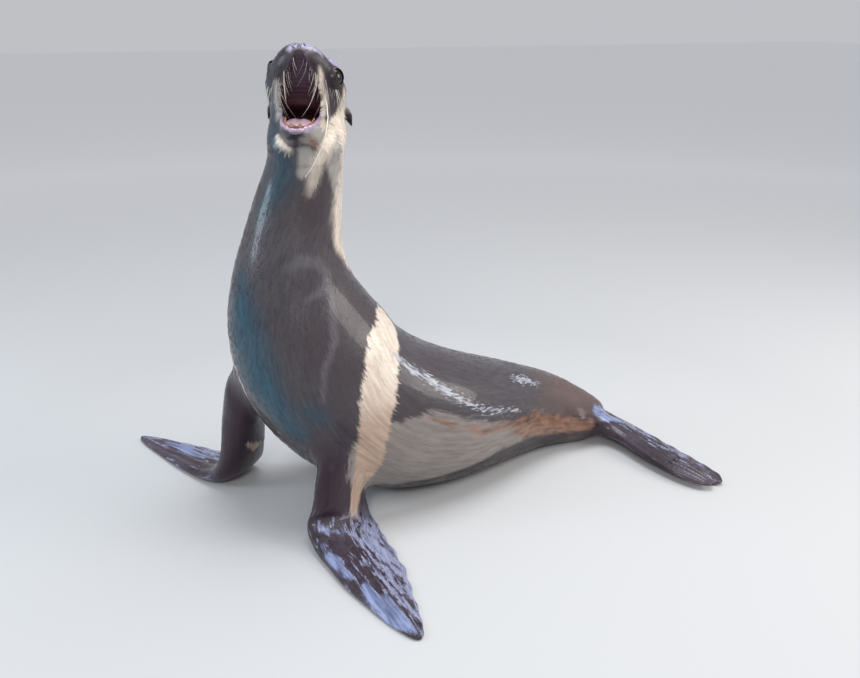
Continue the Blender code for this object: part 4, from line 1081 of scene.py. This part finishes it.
# Soft patches of wetter and drier surface, shared by the skin and the gums
tree = damp = bpy.data.node_groups.new("damp_patches", "ShaderNodeTree")
for name in ("Scale", "Wet", "Dry"):
    damp.interface.new_socket(name, in_out="INPUT", socket_type="NodeSocketFloat")
damp.interface.new_socket("Roughness", in_out="OUTPUT", socket_type="NodeSocketFloat")
entry = add_node("NodeGroupInput").outputs
patches = step(noise(own_place(), entry["Scale"], 4), 0.35, 0.70, entry["Wet"], entry["Dry"])
add_node("NodeGroupOutput", {"Roughness": patches})


def dampened(scale, wet, dry):
    inputs = {"Scale": scale, "Wet": wet, "Dry": dry}
    return add_node("ShaderNodeGroup", inputs, node_tree=damp).outputs["Roughness"]


coat, tree, shader = new_material("wet_coat")
flow = attribute("flow")["Vector"]
place = own_place()
height = separated(place)[2]
bare, moist, limb = separated(attribute("zone")["Vector"])
cream, tan, teal_reflection = separated(attribute("marks")["Vector"])
lilac, shade, rust = separated(attribute("shades")["Vector"])
line, glint, rear = separated(attribute("lines")["Vector"])
settled = attribute("settled")["Fac"]
clump = noise(stretched(flow, (10, 110, 110)), 1.0, 4)
hair = noise(stretched(flow, (40, 620, 620)), 1.0, 2)
cloud = noise(place, 7.0, 4)
ragged = minus(noise(stretched(flow, (16, 90, 90)), 1.0, 5, 0.65), 0.5)
ragged = times(ragged, step(height, 0.60, 0.84, 1.0, 0.40))


def paint(colour, share, rough, width, low, high, between=clump, fray=ragged):
    """A marking laid over a colour, also used for painted light: its edge roughened along the hair, its
    tone varied.
    """
    edge = plus(share, times(fray, rough))
    tone = toned(between, low, high)
    return mixed(step(edge, 0.5 - width, 0.5 + width), colour, tone)


colour = mixed(step(clump, 0.25, 0.75), (0.042, 0.036, 0.044), (0.074, 0.064, 0.074))
colour = mixed(step(cloud, 0.35, 0.75), colour, (0.052, 0.040, 0.046))
colour = mixed(rear, colour, (0.105, 0.070, 0.064))
colour = paint(colour, line, 0.15, 0.10, (0.084, 0.075, 0.088), (0.106, 0.096, 0.110))
# Painted reflection: a blue-green glow of water and sky over the chest and neck
colour = paint(colour, teal_reflection, 0.12, 0.34, (0.009, 0.040, 0.064), (0.015, 0.068, 0.108))
maroon = mixed(clump, (0.012, 0.004, 0.009), (0.038, 0.017, 0.031))
colour = mixed(times(limb, step(height, 0.40, 0.24)), colour, maroon)
colour = paint(colour, tan, 0.60, 0.09, (0.190, 0.163, 0.151), (0.262, 0.228, 0.209))
throat_grey = times(step(tan, 0.40, 0.58), step(height, 0.62, 0.76, 0.0, 0.45))
colour = mixed(throat_grey, colour, (0.46, 0.44, 0.42))
colour = paint(colour, rust, 0.60, 0.12, (0.130, 0.062, 0.040), (0.290, 0.160, 0.110))
white = toned(clump, (0.60, 0.50, 0.41), (0.80, 0.71, 0.61))
beige = toned(clump, (0.39, 0.275, 0.206), (0.54, 0.39, 0.297))
pale = mixed(step(height, 0.22, 0.36), beige, white)
cream_edge = plus(cream, times(ragged, 0.36))
firm = step(height, 0.50, 0.60, 0.06, 0.18)
firm = minus(firm, step(height, 0.78, 0.85, 0.0, 0.11))
cream_edge = step(cream_edge, minus(0.5, firm), plus(0.5, firm))
colour = mixed(cream_edge, colour, pale)
# Painted highlights: broken pale flecks of wet glint along the flank and on the hip
fleck = minus(noise(stretched(flow, (42, 230, 230)), 1.0, 4, 0.6), 0.5)
colour = paint(colour, glint, 1.0, 0.08, (0.24, 0.25, 0.29), (0.54, 0.56, 0.64), hair, fleck)
# Dark skin on the muzzle, round the eyes and on the ears, with painted shade along the bottom of the belly
colour = paint(colour, shade, 0.35, 0.08, (0.012, 0.007, 0.010), (0.034, 0.022, 0.030))
trailing = step(separated(flow)[1], 0.030, -0.045, -0.08, 0.09)
blotch = noise(stretched(flow, (20, 105, 105)), 1.0, 5, 0.70)
blotch = plus(blotch, trailing)
blotch = minus(blotch, times(rear, 0.075))
# Bare leather of the flippers, with a painted pale sheen in streaks towards its trailing edge
leather = mixed(step(cloud, 0.35, 0.7), (0.028, 0.017, 0.026), (0.070, 0.052, 0.074))
sheen = toned(hair, (0.150, 0.158, 0.245), (0.340, 0.365, 0.530))
leather = mixed(step(blotch, 0.475, 0.575), leather, sheen)
colour = mixed(bare, colour, leather)
# Painted sheen and highlights, pale violet up high and grey blue low down, on the nose, brow, ankles and
# flipper blades; the lilac of the lower lip is its own colour
lavender_lip_and_sheen = toned(clump, (0.230, 0.200, 0.320), (0.420, 0.380, 0.540))
steel_sheen = toned(clump, (0.100, 0.118, 0.215), (0.280, 0.335, 0.550))
lavender_lip_and_sheen = mixed(step(height, 0.30, 0.60), steel_sheen, lavender_lip_and_sheen)
lilac_edge = plus(lilac, times(ragged, 0.60))
colour = mixed(step(lilac_edge, 0.43, 0.57), colour, lavender_lip_and_sheen)
# Lining of the mouth: dark red in the throat, painted nearly black deep in it as shade, mauve ahead, lilac
# pink along the lower lip
forward = step(separated(flow)[0], float(spine_length[-1]) + 0.005, float(spine_length[-1]) + 0.075)
palate = toned(cloud, (0.040, 0.022, 0.036), (0.075, 0.044, 0.068))
lining = mixed(forward, (0.032, 0.006, 0.010), palate)
gum = toned(clump, (0.300, 0.190, 0.270), (0.480, 0.330, 0.430))
lining = mixed(step(lilac, 0.48, 0.62), lining, gum)
colour = mixed(moist, colour, lining)
# Relief: locks and hairs on the coat, wrinkles on the leather, ridges on the palate, fine grain
furred = times(settled, minus(1.0, maths("MAXIMUM", bare, moist)))
relief = plus(times(clump, 0.24), times(hair, 0.16))
relief = times(relief, furred)
wrinkles = noise(stretched(flow, (190, 60, 60)), 1.0, 3, 0.6)
relief = plus(relief, times(wrinkles, times(bare, 0.50)))
rugae = add_node("ShaderNodeTexWave", {"Vector": flow, "Scale": 34.0, "Distortion": 1.5}).outputs["Fac"]
relief = plus(relief, times(rugae, times(moist, 0.10)))
grain = noise(place, 260.0, 3)
relief = plus(relief, times(grain, 0.08))
bump = add_node("ShaderNodeBump", {"Strength": 0.7, "Distance": 0.0045, "Height": relief})
set_inputs(shader, {
    "Base Color": colour, "Roughness": dampened(11.0, 0.30, 0.52), "Specular IOR Level": 0.30,
    "Coat Weight": step(height, 0.80, 0.92, 0.60, 0.24), "Coat Roughness": 0.09, "Coat IOR": 1.33,
    "Normal": bump.outputs[0],
})
skin.data.materials.clear()
skin.data.materials.append(coat)
skin.data.shade_smooth()
skin.data.set_sharp_from_angle(angle=math.radians(60))
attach(skin, "root")
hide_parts(*FLESH)

# Coat tufts
# Wet hairs cling together in small pointed locks: flat slivers of coat rooted in the skin that
# overlap and lie along the body, standing out a little at the nape, flank, jaw and belly.
TUFTS, TUFT_LENGTH, TUFT_WIDTH, TUFT_THICKNESS, PATCH = 13000, 0.0120, 0.0021, 0.0005, 0.003
random = np.random.default_rng(23)
mesh = skin.data
mesh.calc_loop_triangles()
corners, loops = (read(mesh.loop_triangles, name, 3, np.int32) for name in ("vertices", "loops"))
unwrapped = read(mesh.uv_layers["OFBake"].data, "uv", 2)[loops]
skin_points = vertices_of(mesh)
skin_normals = read(mesh.vertices, "normal", 3).astype(float)
skin_values = {name: get_values(mesh, name) for name in ("flow", "zone", "marks", "shades", "lines")}
first, second, third = (skin_points[corners[:, number]] for number in range(3))
across = np.cross(second - first, third - first)
double_area = np.linalg.norm(across, axis=1)
across = across / np.maximum(double_area, 1e-12)[:, None]
# Slope of the flow's first number over each triangle: it rises towards the head and the tips
along = skin_values["flow"][corners][:, :, 0]
slope = (
    along[:, 0:1] * np.cross(across, third - second)
    + along[:, 1:2] * np.cross(across, first - third)
    + along[:, 2:3] * np.cross(across, second - first)
) / np.maximum(double_area, 1e-12)[:, None]
zone = skin_values["zone"][corners].mean(1)
steep = np.linalg.norm(slope, axis=1)
centre = (first + second + third) / 3 - SHIFT
sound = (steep > 0.4) & (steep < 1.8) & (zone[:, 0] < 0.3) & (zone[:, 1] < 0.05) & (centre[:, 2] > 0.012)
on_face = ease(0.90, 0.96, centre[:, 2])
# Tufts stand thicker on the neck and thinner on the face, and none grow on the ears
liked = double_area * sound * (1 + ease(0.62, 0.80, centre[:, 2]) - 1.2 * on_face)
liked *= deepest(centre, ear_paths) < -0.004
chosen = random.choice(len(corners), TUFTS, p=np.maximum(liked, 0) / np.maximum(liked, 0).sum())
shares = random.dirichlet((1, 1, 1), TUFTS)


def at_roots(values):
    """Values of the chosen triangles' corners, blended at the tufts' roots."""
    return (values[corners[chosen]] * shares[..., None]).sum(1)


root, outwards = at_roots(skin_points), unit(at_roots(skin_normals))
# They lie towards the tail on the body and towards the tip on the limbs, with some scatter
lie = slope[chosen] * np.where(zone[chosen, 2:3] > 0.5, 1, -1)
lie = lie + 0.18 * random.normal(size=lie.shape) * steep[chosen][:, None]
lie = unit(lie - (lie * outwards).sum(1, keepdims=True) * outwards)
beside = np.cross(outwards, lie)
size = random.uniform(0.7, 1.25, TUFTS) * (1 - 0.5 * on_face[chosen]) * (1 - 0.3 * zone[chosen, 2])
# They lift a little where one marking meets another, so that its edge looks ragged
marked_edge = 1 - np.clip(np.abs(at_roots(skin_values["marks"])[:, :2] - 0.5) / 0.12, 0, 1).min(1)
lift = random.uniform(0.0001, 0.0006, TUFTS) + 0.0008 * marked_edge
# Two rings of three points and a tip: along the lie, across it and away from the skin
SHAPE = np.array([
    (0.0, -0.5, -0.6), (0.0, 0.5, -0.6), (0.0, 0.0, 0.9), (0.5, -0.42, 0.1), (0.5, 0.42, 0.1),
    (0.5, 0.0, 0.7), (1.0, 0.0, 0.0),
])
rise = SHAPE[:, 2] * TUFT_THICKNESS + np.outer(lift, SHAPE[:, 0] * (2 - SHAPE[:, 0])) - 0.0001
tuft_points = moved(
    root[:, None],
    (size[:, None] * SHAPE[:, 0] * TUFT_LENGTH, lie[:, None]),
    (size[:, None] * SHAPE[:, 1] * TUFT_WIDTH, beside[:, None]),
    (rise, outwards[:, None]),
)
SIDES = np.array([
    (0, 2, 1), (0, 1, 4), (0, 4, 3), (1, 2, 5), (1, 5, 4), (2, 0, 3), (2, 3, 5), (3, 4, 6), (4, 5, 6),
    (5, 3, 6),
])
tuft_faces = (SIDES[None] + len(SHAPE) * np.arange(TUFTS)[:, None, None]).reshape(-1, 3)
tufts = made("coat_tufts", tuft_points.reshape(-1, 3), tuft_faces)
for name, values in skin_values.items():
    set_values(tufts.data, {name: np.repeat(at_roots(values), len(SHAPE), axis=0)})
set_values(tufts.data, {"settled": np.zeros(TUFTS * len(SHAPE))})
# Each tuft's patch of the unwrap lies round its root's place on the skin's
patch = (unwrapped[chosen] * shares[..., None]).sum(1)[:, None] + PATCH * (SHAPE[:, :2] - [0.5, 0])
unwrap_with(tufts.data, patch.reshape(-1, 2)[tuft_faces.ravel()])
tufts.data.materials.append(coat)
tufts.data.shade_smooth()
# The normals stay near the skin's, so that the tufts shade like the coat round them
leaning = outwards[:, None] + 0.22 * SHAPE[:, 1:2] * beside[:, None] + 0.10 * SHAPE[:, :1] * lie[:, None]
leaning = unit(leaning)
tufts.data.normals_split_custom_set_from_vertices(leaning.reshape(-1, 3))
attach(tufts, "root")

# Eyes
# Large wet eyes, nearly black, with a thin brown iris round a wide pupil: firm globes under a
# clear front, held in the skull and half covered by the lids.
eye_material, tree, shader = new_material("wet_eye")
front = attribute("ahead")["Fac"]
fibre = noise(own_place(), 900.0, 3)
iris = mixed(fibre, (0.020, 0.009, 0.005), (0.060, 0.030, 0.018))
eye_colour = mixed(step(front, 0.80, 0.83), iris, (0.004, 0.003, 0.003))
eye_colour = mixed(step(front, 0.42, 0.36), eye_colour, (0.03, 0.022, 0.020))
set_inputs(shader, {
    "Base Color": eye_colour, "Roughness": 0.05, "Specular IOR Level": 0.3,
    "Coat Weight": 0.25, "Coat Roughness": 0.02,
})
for side, name in ((1, "left"), (-1, "right")):
    globe = eye_ball(f"wet_eye_{name}", side, EYE_RADIUS)
    centre, outward, _, _ = eye_frame(side)
    towards = (vertices_of(globe.data) - SHIFT - centre) @ outward / EYE_RADIUS
    set_values(globe.data, {"ahead": towards})
    globe.data.materials.append(eye_material)
    globe.data.shade_smooth()
    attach(globe, "root")
    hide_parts(f"eye_{name}")

# Teeth
# Conical teeth of a fish eater: lower canines stained orange by age, small incisors between
# them and rows of blunt cheek teeth, those of the upper jaw painted dark as the shade they
# stand in, each rooted in the gum.
TOOTH_ROOT, TOOTH_LEAN = 0.006, 0.16
tooth_material, tree, shader = new_material("stained_and_shaded_enamel")
along = attribute("along")["Fac"]
stain = noise(own_place(), 320.0, 4)
reach = plus(along, times(stain, 0.5))
tooth_colour = mixed(step(reach, 0.6, 1.3), (0.150, 0.050, 0.020), (0.420, 0.190, 0.085))
# The upper teeth are painted dark, as the shade they stand in
tooth_colour = mixed(attribute("upper")["Fac"], tooth_colour, (0.085, 0.040, 0.026))
set_inputs(shader, {"Base Color": tooth_colour, "Roughness": 0.25, "Coat Weight": 0.6})


def tube_rows(path, radii, around):
    """Rings round a path, square to it, each with its own radius."""
    along = unit(np.gradient(path, axis=0))
    first = unit(np.cross(along, unit([0.31, 0.77, -0.56])))
    second = np.cross(along, first)
    angle = circle(around)
    return path[:, None] + radii[:, None, None] * (
        np.cos(angle)[:, None] * first[:, None] + np.sin(angle)[:, None] * second[:, None]
    )


def many_tubes(name, tubes, values=()):
    """One mesh of many closed tapered tubes, given as lists of rings of one size, with the
    share of the way along each tube kept for the material."""
    rows = np.array(tubes)
    count, down, around = rows.shape[:3]
    ends = np.repeat(rows[:, [0, -1]].mean(2, keepdims=True), around, 2)
    rows = np.concatenate([ends[:, :1], rows, ends[:, 1:]], 1)
    faces = quads(down + 2, around, True)
    faces = (faces[None] + (np.arange(count) * (down + 2) * around)[:, None, None]).reshape(-1, 4)
    piece = made(name, rows.reshape(-1, 3) + SHIFT, faces)
    share = np.concatenate([[0], np.linspace(0, 1, down), [1]])
    set_values(piece.data, {"along": np.broadcast_to(share[None, :, None], rows.shape[:3]).ravel()})
    for key, value in dict(values).items():
        set_values(piece.data, {key: np.repeat(np.asarray(value, float), (down + 2) * around)})
    piece.data.shade_smooth()
    return closed(piece, 1e-6)


teeth = []
# How far along the jaw, share of the half width, length and radius: front, canine, cheek teeth
LOWER_TEETH = [(0.90, 0.24, 0.0020, 0.0014), (0.90, 0.08, 0.0018, 0.0013), (0.87, 0.54, 0.0105, 0.0044)]
CHEEK_TEETH = [(share, 0.78, 0.0030, 0.0024) for share in (0.70, 0.58, 0.46, 0.34, 0.22)]
for table, frame_point, direction, back, kinds in (
    (UPPER_JAW, head_point, -HEAD_UPWARD, -HEAD_AHEAD, CHEEK_TEETH[1:4]),
    (LOWER_JAW, jaw_point, JAW_UPWARD, -JAW_AHEAD, LOWER_TEETH + CHEEK_TEETH),
):
    for share, beside, length, radius in kinds:
        place = np.array([share * (len(table) - 1)])
        outer, _ = jaw_rows(table, frame_point, place, 24)
        middle = outer[0, [0, -1]].mean(0)
        for lip in (outer[0, 0], outer[0, -1]):
            t = np.linspace(0, 1, 12)
            root = middle + (lip - middle) * beside - direction * TOOTH_ROOT
            reach = (TOOTH_ROOT + length) * t
            path = root + reach[:, None] * direction + (TOOTH_LEAN * length * t**3)[:, None] * back
            radii = radius * rounded_end(t, 2.6) * (0.9 + 0.15 * np.sin(np.pi * t))
            teeth.append(tube_rows(path, radii, 14))
upper_in_shade = np.arange(len(teeth)) < 2 * len(CHEEK_TEETH[1:4])
teeth_piece = many_tubes("teeth", teeth, {"upper": upper_in_shade})
teeth_piece.data.materials.append(tooth_material)
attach(teeth_piece, "root")

# Nails
# Small horny nails on the three middle toes of each hind flipper, set well back from its edge
# and lying on the skin: tapered cones, dark at the root and worn paler at the tip.
NAIL_PLACE, NAIL_LENGTH, NAIL_RADIUS = 5.3, 0.011, 0.0019
nails = []
for side in ("left", "right"):
    rows = limb_rows(HIND_LIMB[side], np.array([NAIL_PLACE, NAIL_PLACE + 0.4]), 60, None, ANKLE)
    for column in (11, 15, 19):
        t = np.linspace(0, 1, 10)[:, None]
        ahead = unit(rows[1, column] - rows[0, column])
        rise = 0.0020 * np.sin(np.pi * (0.15 + 0.6 * t)) - 0.0008
        radii = NAIL_RADIUS * rounded_end(t[:, 0], 2.4)
        nails.append(tube_rows(rows[0, column] + NAIL_LENGTH * t * ahead + rise * [0, 0, 1], radii, 10))
nail_piece = many_tubes("nails", nails)
horn, tree, shader = new_material("worn_horn")
grain = noise(own_place(), 420.0, 4)
worn = plus(attribute("along")["Fac"], times(grain, 0.4))
horn_colour = mixed(step(worn, 0.5, 1.3), (0.030, 0.022, 0.022), (0.190, 0.150, 0.120))
set_inputs(shader, {"Base Color": horn_colour, "Roughness": 0.35})
nail_piece.data.materials.append(horn)
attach(nail_piece, "root")

# Gums
# The swollen moist rim inside the lower lip that holds the teeth, lilac pink and scalloped
# between them: a rounded ridge carried round the jaw.
lip_line = np.concatenate([lower_inner[:, 2], lower_inner[::-1, -3]])
spacing = lengths_along(lip_line)
apart = np.append(np.diff(spacing) > 1e-5, True)
lip_line, spots = lip_line[apart], spacing[apart]
GUM_POINTS, GUM_RADIUS, GUM_SCALLOP, TOOTH_GAPS = 150, 0.0034, 0.0007, 17
evenly = np.linspace(0.004, spots[-1] - 0.004, GUM_POINTS)
gum_path = np.stack([np.interp(evenly, spots, lip_line[:, axis]) for axis in range(3)], 1)
gum_share = np.linspace(0, 1, GUM_POINTS)
ends = rounded_end(2 * gum_share - 1, 8, 0.02)
gum_radius = (GUM_RADIUS + GUM_SCALLOP * np.cos(gum_share * 2 * np.pi * TOOTH_GAPS)) * ends
gum_path = gum_path + 0.0006 * np.sin(gum_share * 9)[:, None] * JAW_UPWARD
gums = many_tubes("gums", [tube_rows(gum_path, gum_radius, 14)])
gum_material, tree, shader = new_material("moist_gum")
gum_colour = mixed(noise(own_place(), 140.0, 4), (0.26, 0.16, 0.24), (0.56, 0.42, 0.54))
wetness = dampened(60.0, 0.16, 0.34)
set_inputs(shader, {"Base Color": gum_colour, "Roughness": wetness, "Coat Weight": 0.6})
gums.data.materials.append(gum_material)
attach(gums, "root")

# Tongue
# A thick moist muscle lying along the floor of the mouth, pale pink, with a groove down its
# middle and fine papillae all over its upper face.
TONGUE_HALF_WIDTH, TONGUE_HEIGHT = 0.027, 0.0125
share = np.linspace(0, 1, 60)
half_width = TONGUE_HALF_WIDTH * np.sqrt(np.clip(1 - (share - 0.25) ** 2 / 0.62, 0.04, 1))
height = TONGUE_HEIGHT * np.clip(1.15 - 1.02 * share**2, 0.2, 1)
angle = circle(72)
groove = 0.18 * np.exp(-((np.cos(angle) / 0.22) ** 2)) * (np.sin(angle) > 0)
middle = jaw_point(0.058 + 0.068 * share, 0.001 + 0.004 * share)
rise = height[:, None] * (np.sin(angle) - groove)
side = half_width[:, None] * np.cos(angle)
tongue_rows = moved(middle[:, None], (side, HEAD_LEFT), (rise, JAW_UPWARD))
zeros = np.zeros_like(tongue_rows)
tongue = capped_loft("wet_tongue", tongue_rows, zeros, zeros, (0, 0, 1, 1))
tongue_material, tree, shader = new_material("wet_tongue")
place = own_place()
flesh = mixed(noise(place, 60.0, 4), (0.34, 0.20, 0.26), (0.56, 0.42, 0.50))
papillae = add_node("ShaderNodeTexVoronoi", {"Vector": place, "Scale": 900.0}).outputs["Distance"]
bump = add_node("ShaderNodeBump", {"Strength": 0.5, "Distance": 0.0006, "Height": papillae})
set_inputs(shader, {
    "Base Color": flesh, "Roughness": 0.3, "Coat Weight": 0.7, "Subsurface Weight": 0.2,
    "Normal": bump.outputs[0],
})
tongue.data.materials.append(tongue_material)
tongue.data.shade_smooth()
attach(tongue, "root")
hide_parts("tongue")

# Whiskers
# Stiff pale bristles growing in rows from the pads of the upper lip, smooth and tapered, swept
# back along the cheeks and hanging past the open mouth.
WHISKER_ROWS, WHISKER_COLUMNS, HALF_TURN, WHISKER_ROOT = 10, 14, 360, 0.005
random = np.random.default_rng(7)
whiskers = []
# Rows rise from the lip and columns run back from the nose: the lowest rows hang, and the front
# ones of the others stand off the cheek
for side in (1, -1):
    for row in range(WHISKER_ROWS):
        for column in range(WHISKER_COLUMNS):
            place = len(UPPER_JAW) - 1.05 - 0.26 * column - 0.05 * row + random.uniform(-0.18, 0.18)
            angle = 5 + (4.2 - 0.18 * column) * row + random.uniform(-2, 2)
            outer, _ = jaw_rows(UPPER_JAW, head_point, np.array([place]), HALF_TURN)
            root = outer[0, round(2 * angle) if side > 0 else HALF_TURN - round(2 * angle)]
            outward = unit(HEAD_LEFT * side + HEAD_UPWARD * 0.15)
            length = (0.032 + 0.0020 * column) * random.uniform(0.6, 1.5) * (1 - 0.03 * row)
            t = np.linspace(0, 1, 10)[:, None]
            hanging = max(0, 1 - row / 3)
            sweep = -HEAD_AHEAD * 0.9 - HEAD_UPWARD * random.uniform(0.10, 0.55) * (0.3 + 0.7 * hanging)
            aside = (0.06 + 0.50 * max(0, 1 - column / 6)) * (1 - hanging)
            sweep = unit(sweep + outward * (random.uniform(0.06, 0.28) + aside))
            droop = -HEAD_LEFT * side * random.uniform(0.2, 1.3) * (0.45 + 0.55 * hanging) - [0, 0, 0.35]
            path = root - outward * WHISKER_ROOT * (1 - t)
            path = path + sweep * length * t + droop * length * 0.5 * t**2
            radii = random.uniform(0.00036, 0.00088) * (1 - 0.80 * t[:, 0])
            whiskers.append(tube_rows(path, radii, 5))
tones = random.uniform(0, 1, len(whiskers) + 1)
# One long whisker hangs from the left pad down across the cheek and throat
long_whisker = through([
    (-0.194, -0.140, 0.933), (-0.189, -0.146, 0.911), (-0.190, -0.160, 0.879), (-0.203, -0.183, 0.850),
    (-0.210, -0.175, 0.823), (-0.225, -0.159, 0.787), (-0.236, -0.146, 0.767),
], np.linspace(0, 6, 10))
long_whisker[0] -= 0.004 * unit([0.13, -0.93, -0.34])
tones[-1] = 1
whiskers.append(tube_rows(long_whisker, 0.0013 * np.linspace(1, 0.4, 10), 5))
whisker_piece = many_tubes("whiskers", whiskers, {"tone": tones})
bristle, tree, shader = new_material("pale_bristle")
along = attribute("along")["Fac"]
bright = mixed(attribute("tone")["Fac"], (0.36, 0.31, 0.28), (0.92, 0.86, 0.77))
tone = mixed(step(along, 0.0, 0.25), (0.24, 0.19, 0.17), bright)
set_inputs(shader, {"Base Color": tone, "Roughness": 0.3})
whisker_piece.data.materials.append(bristle)
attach(whisker_piece, "root")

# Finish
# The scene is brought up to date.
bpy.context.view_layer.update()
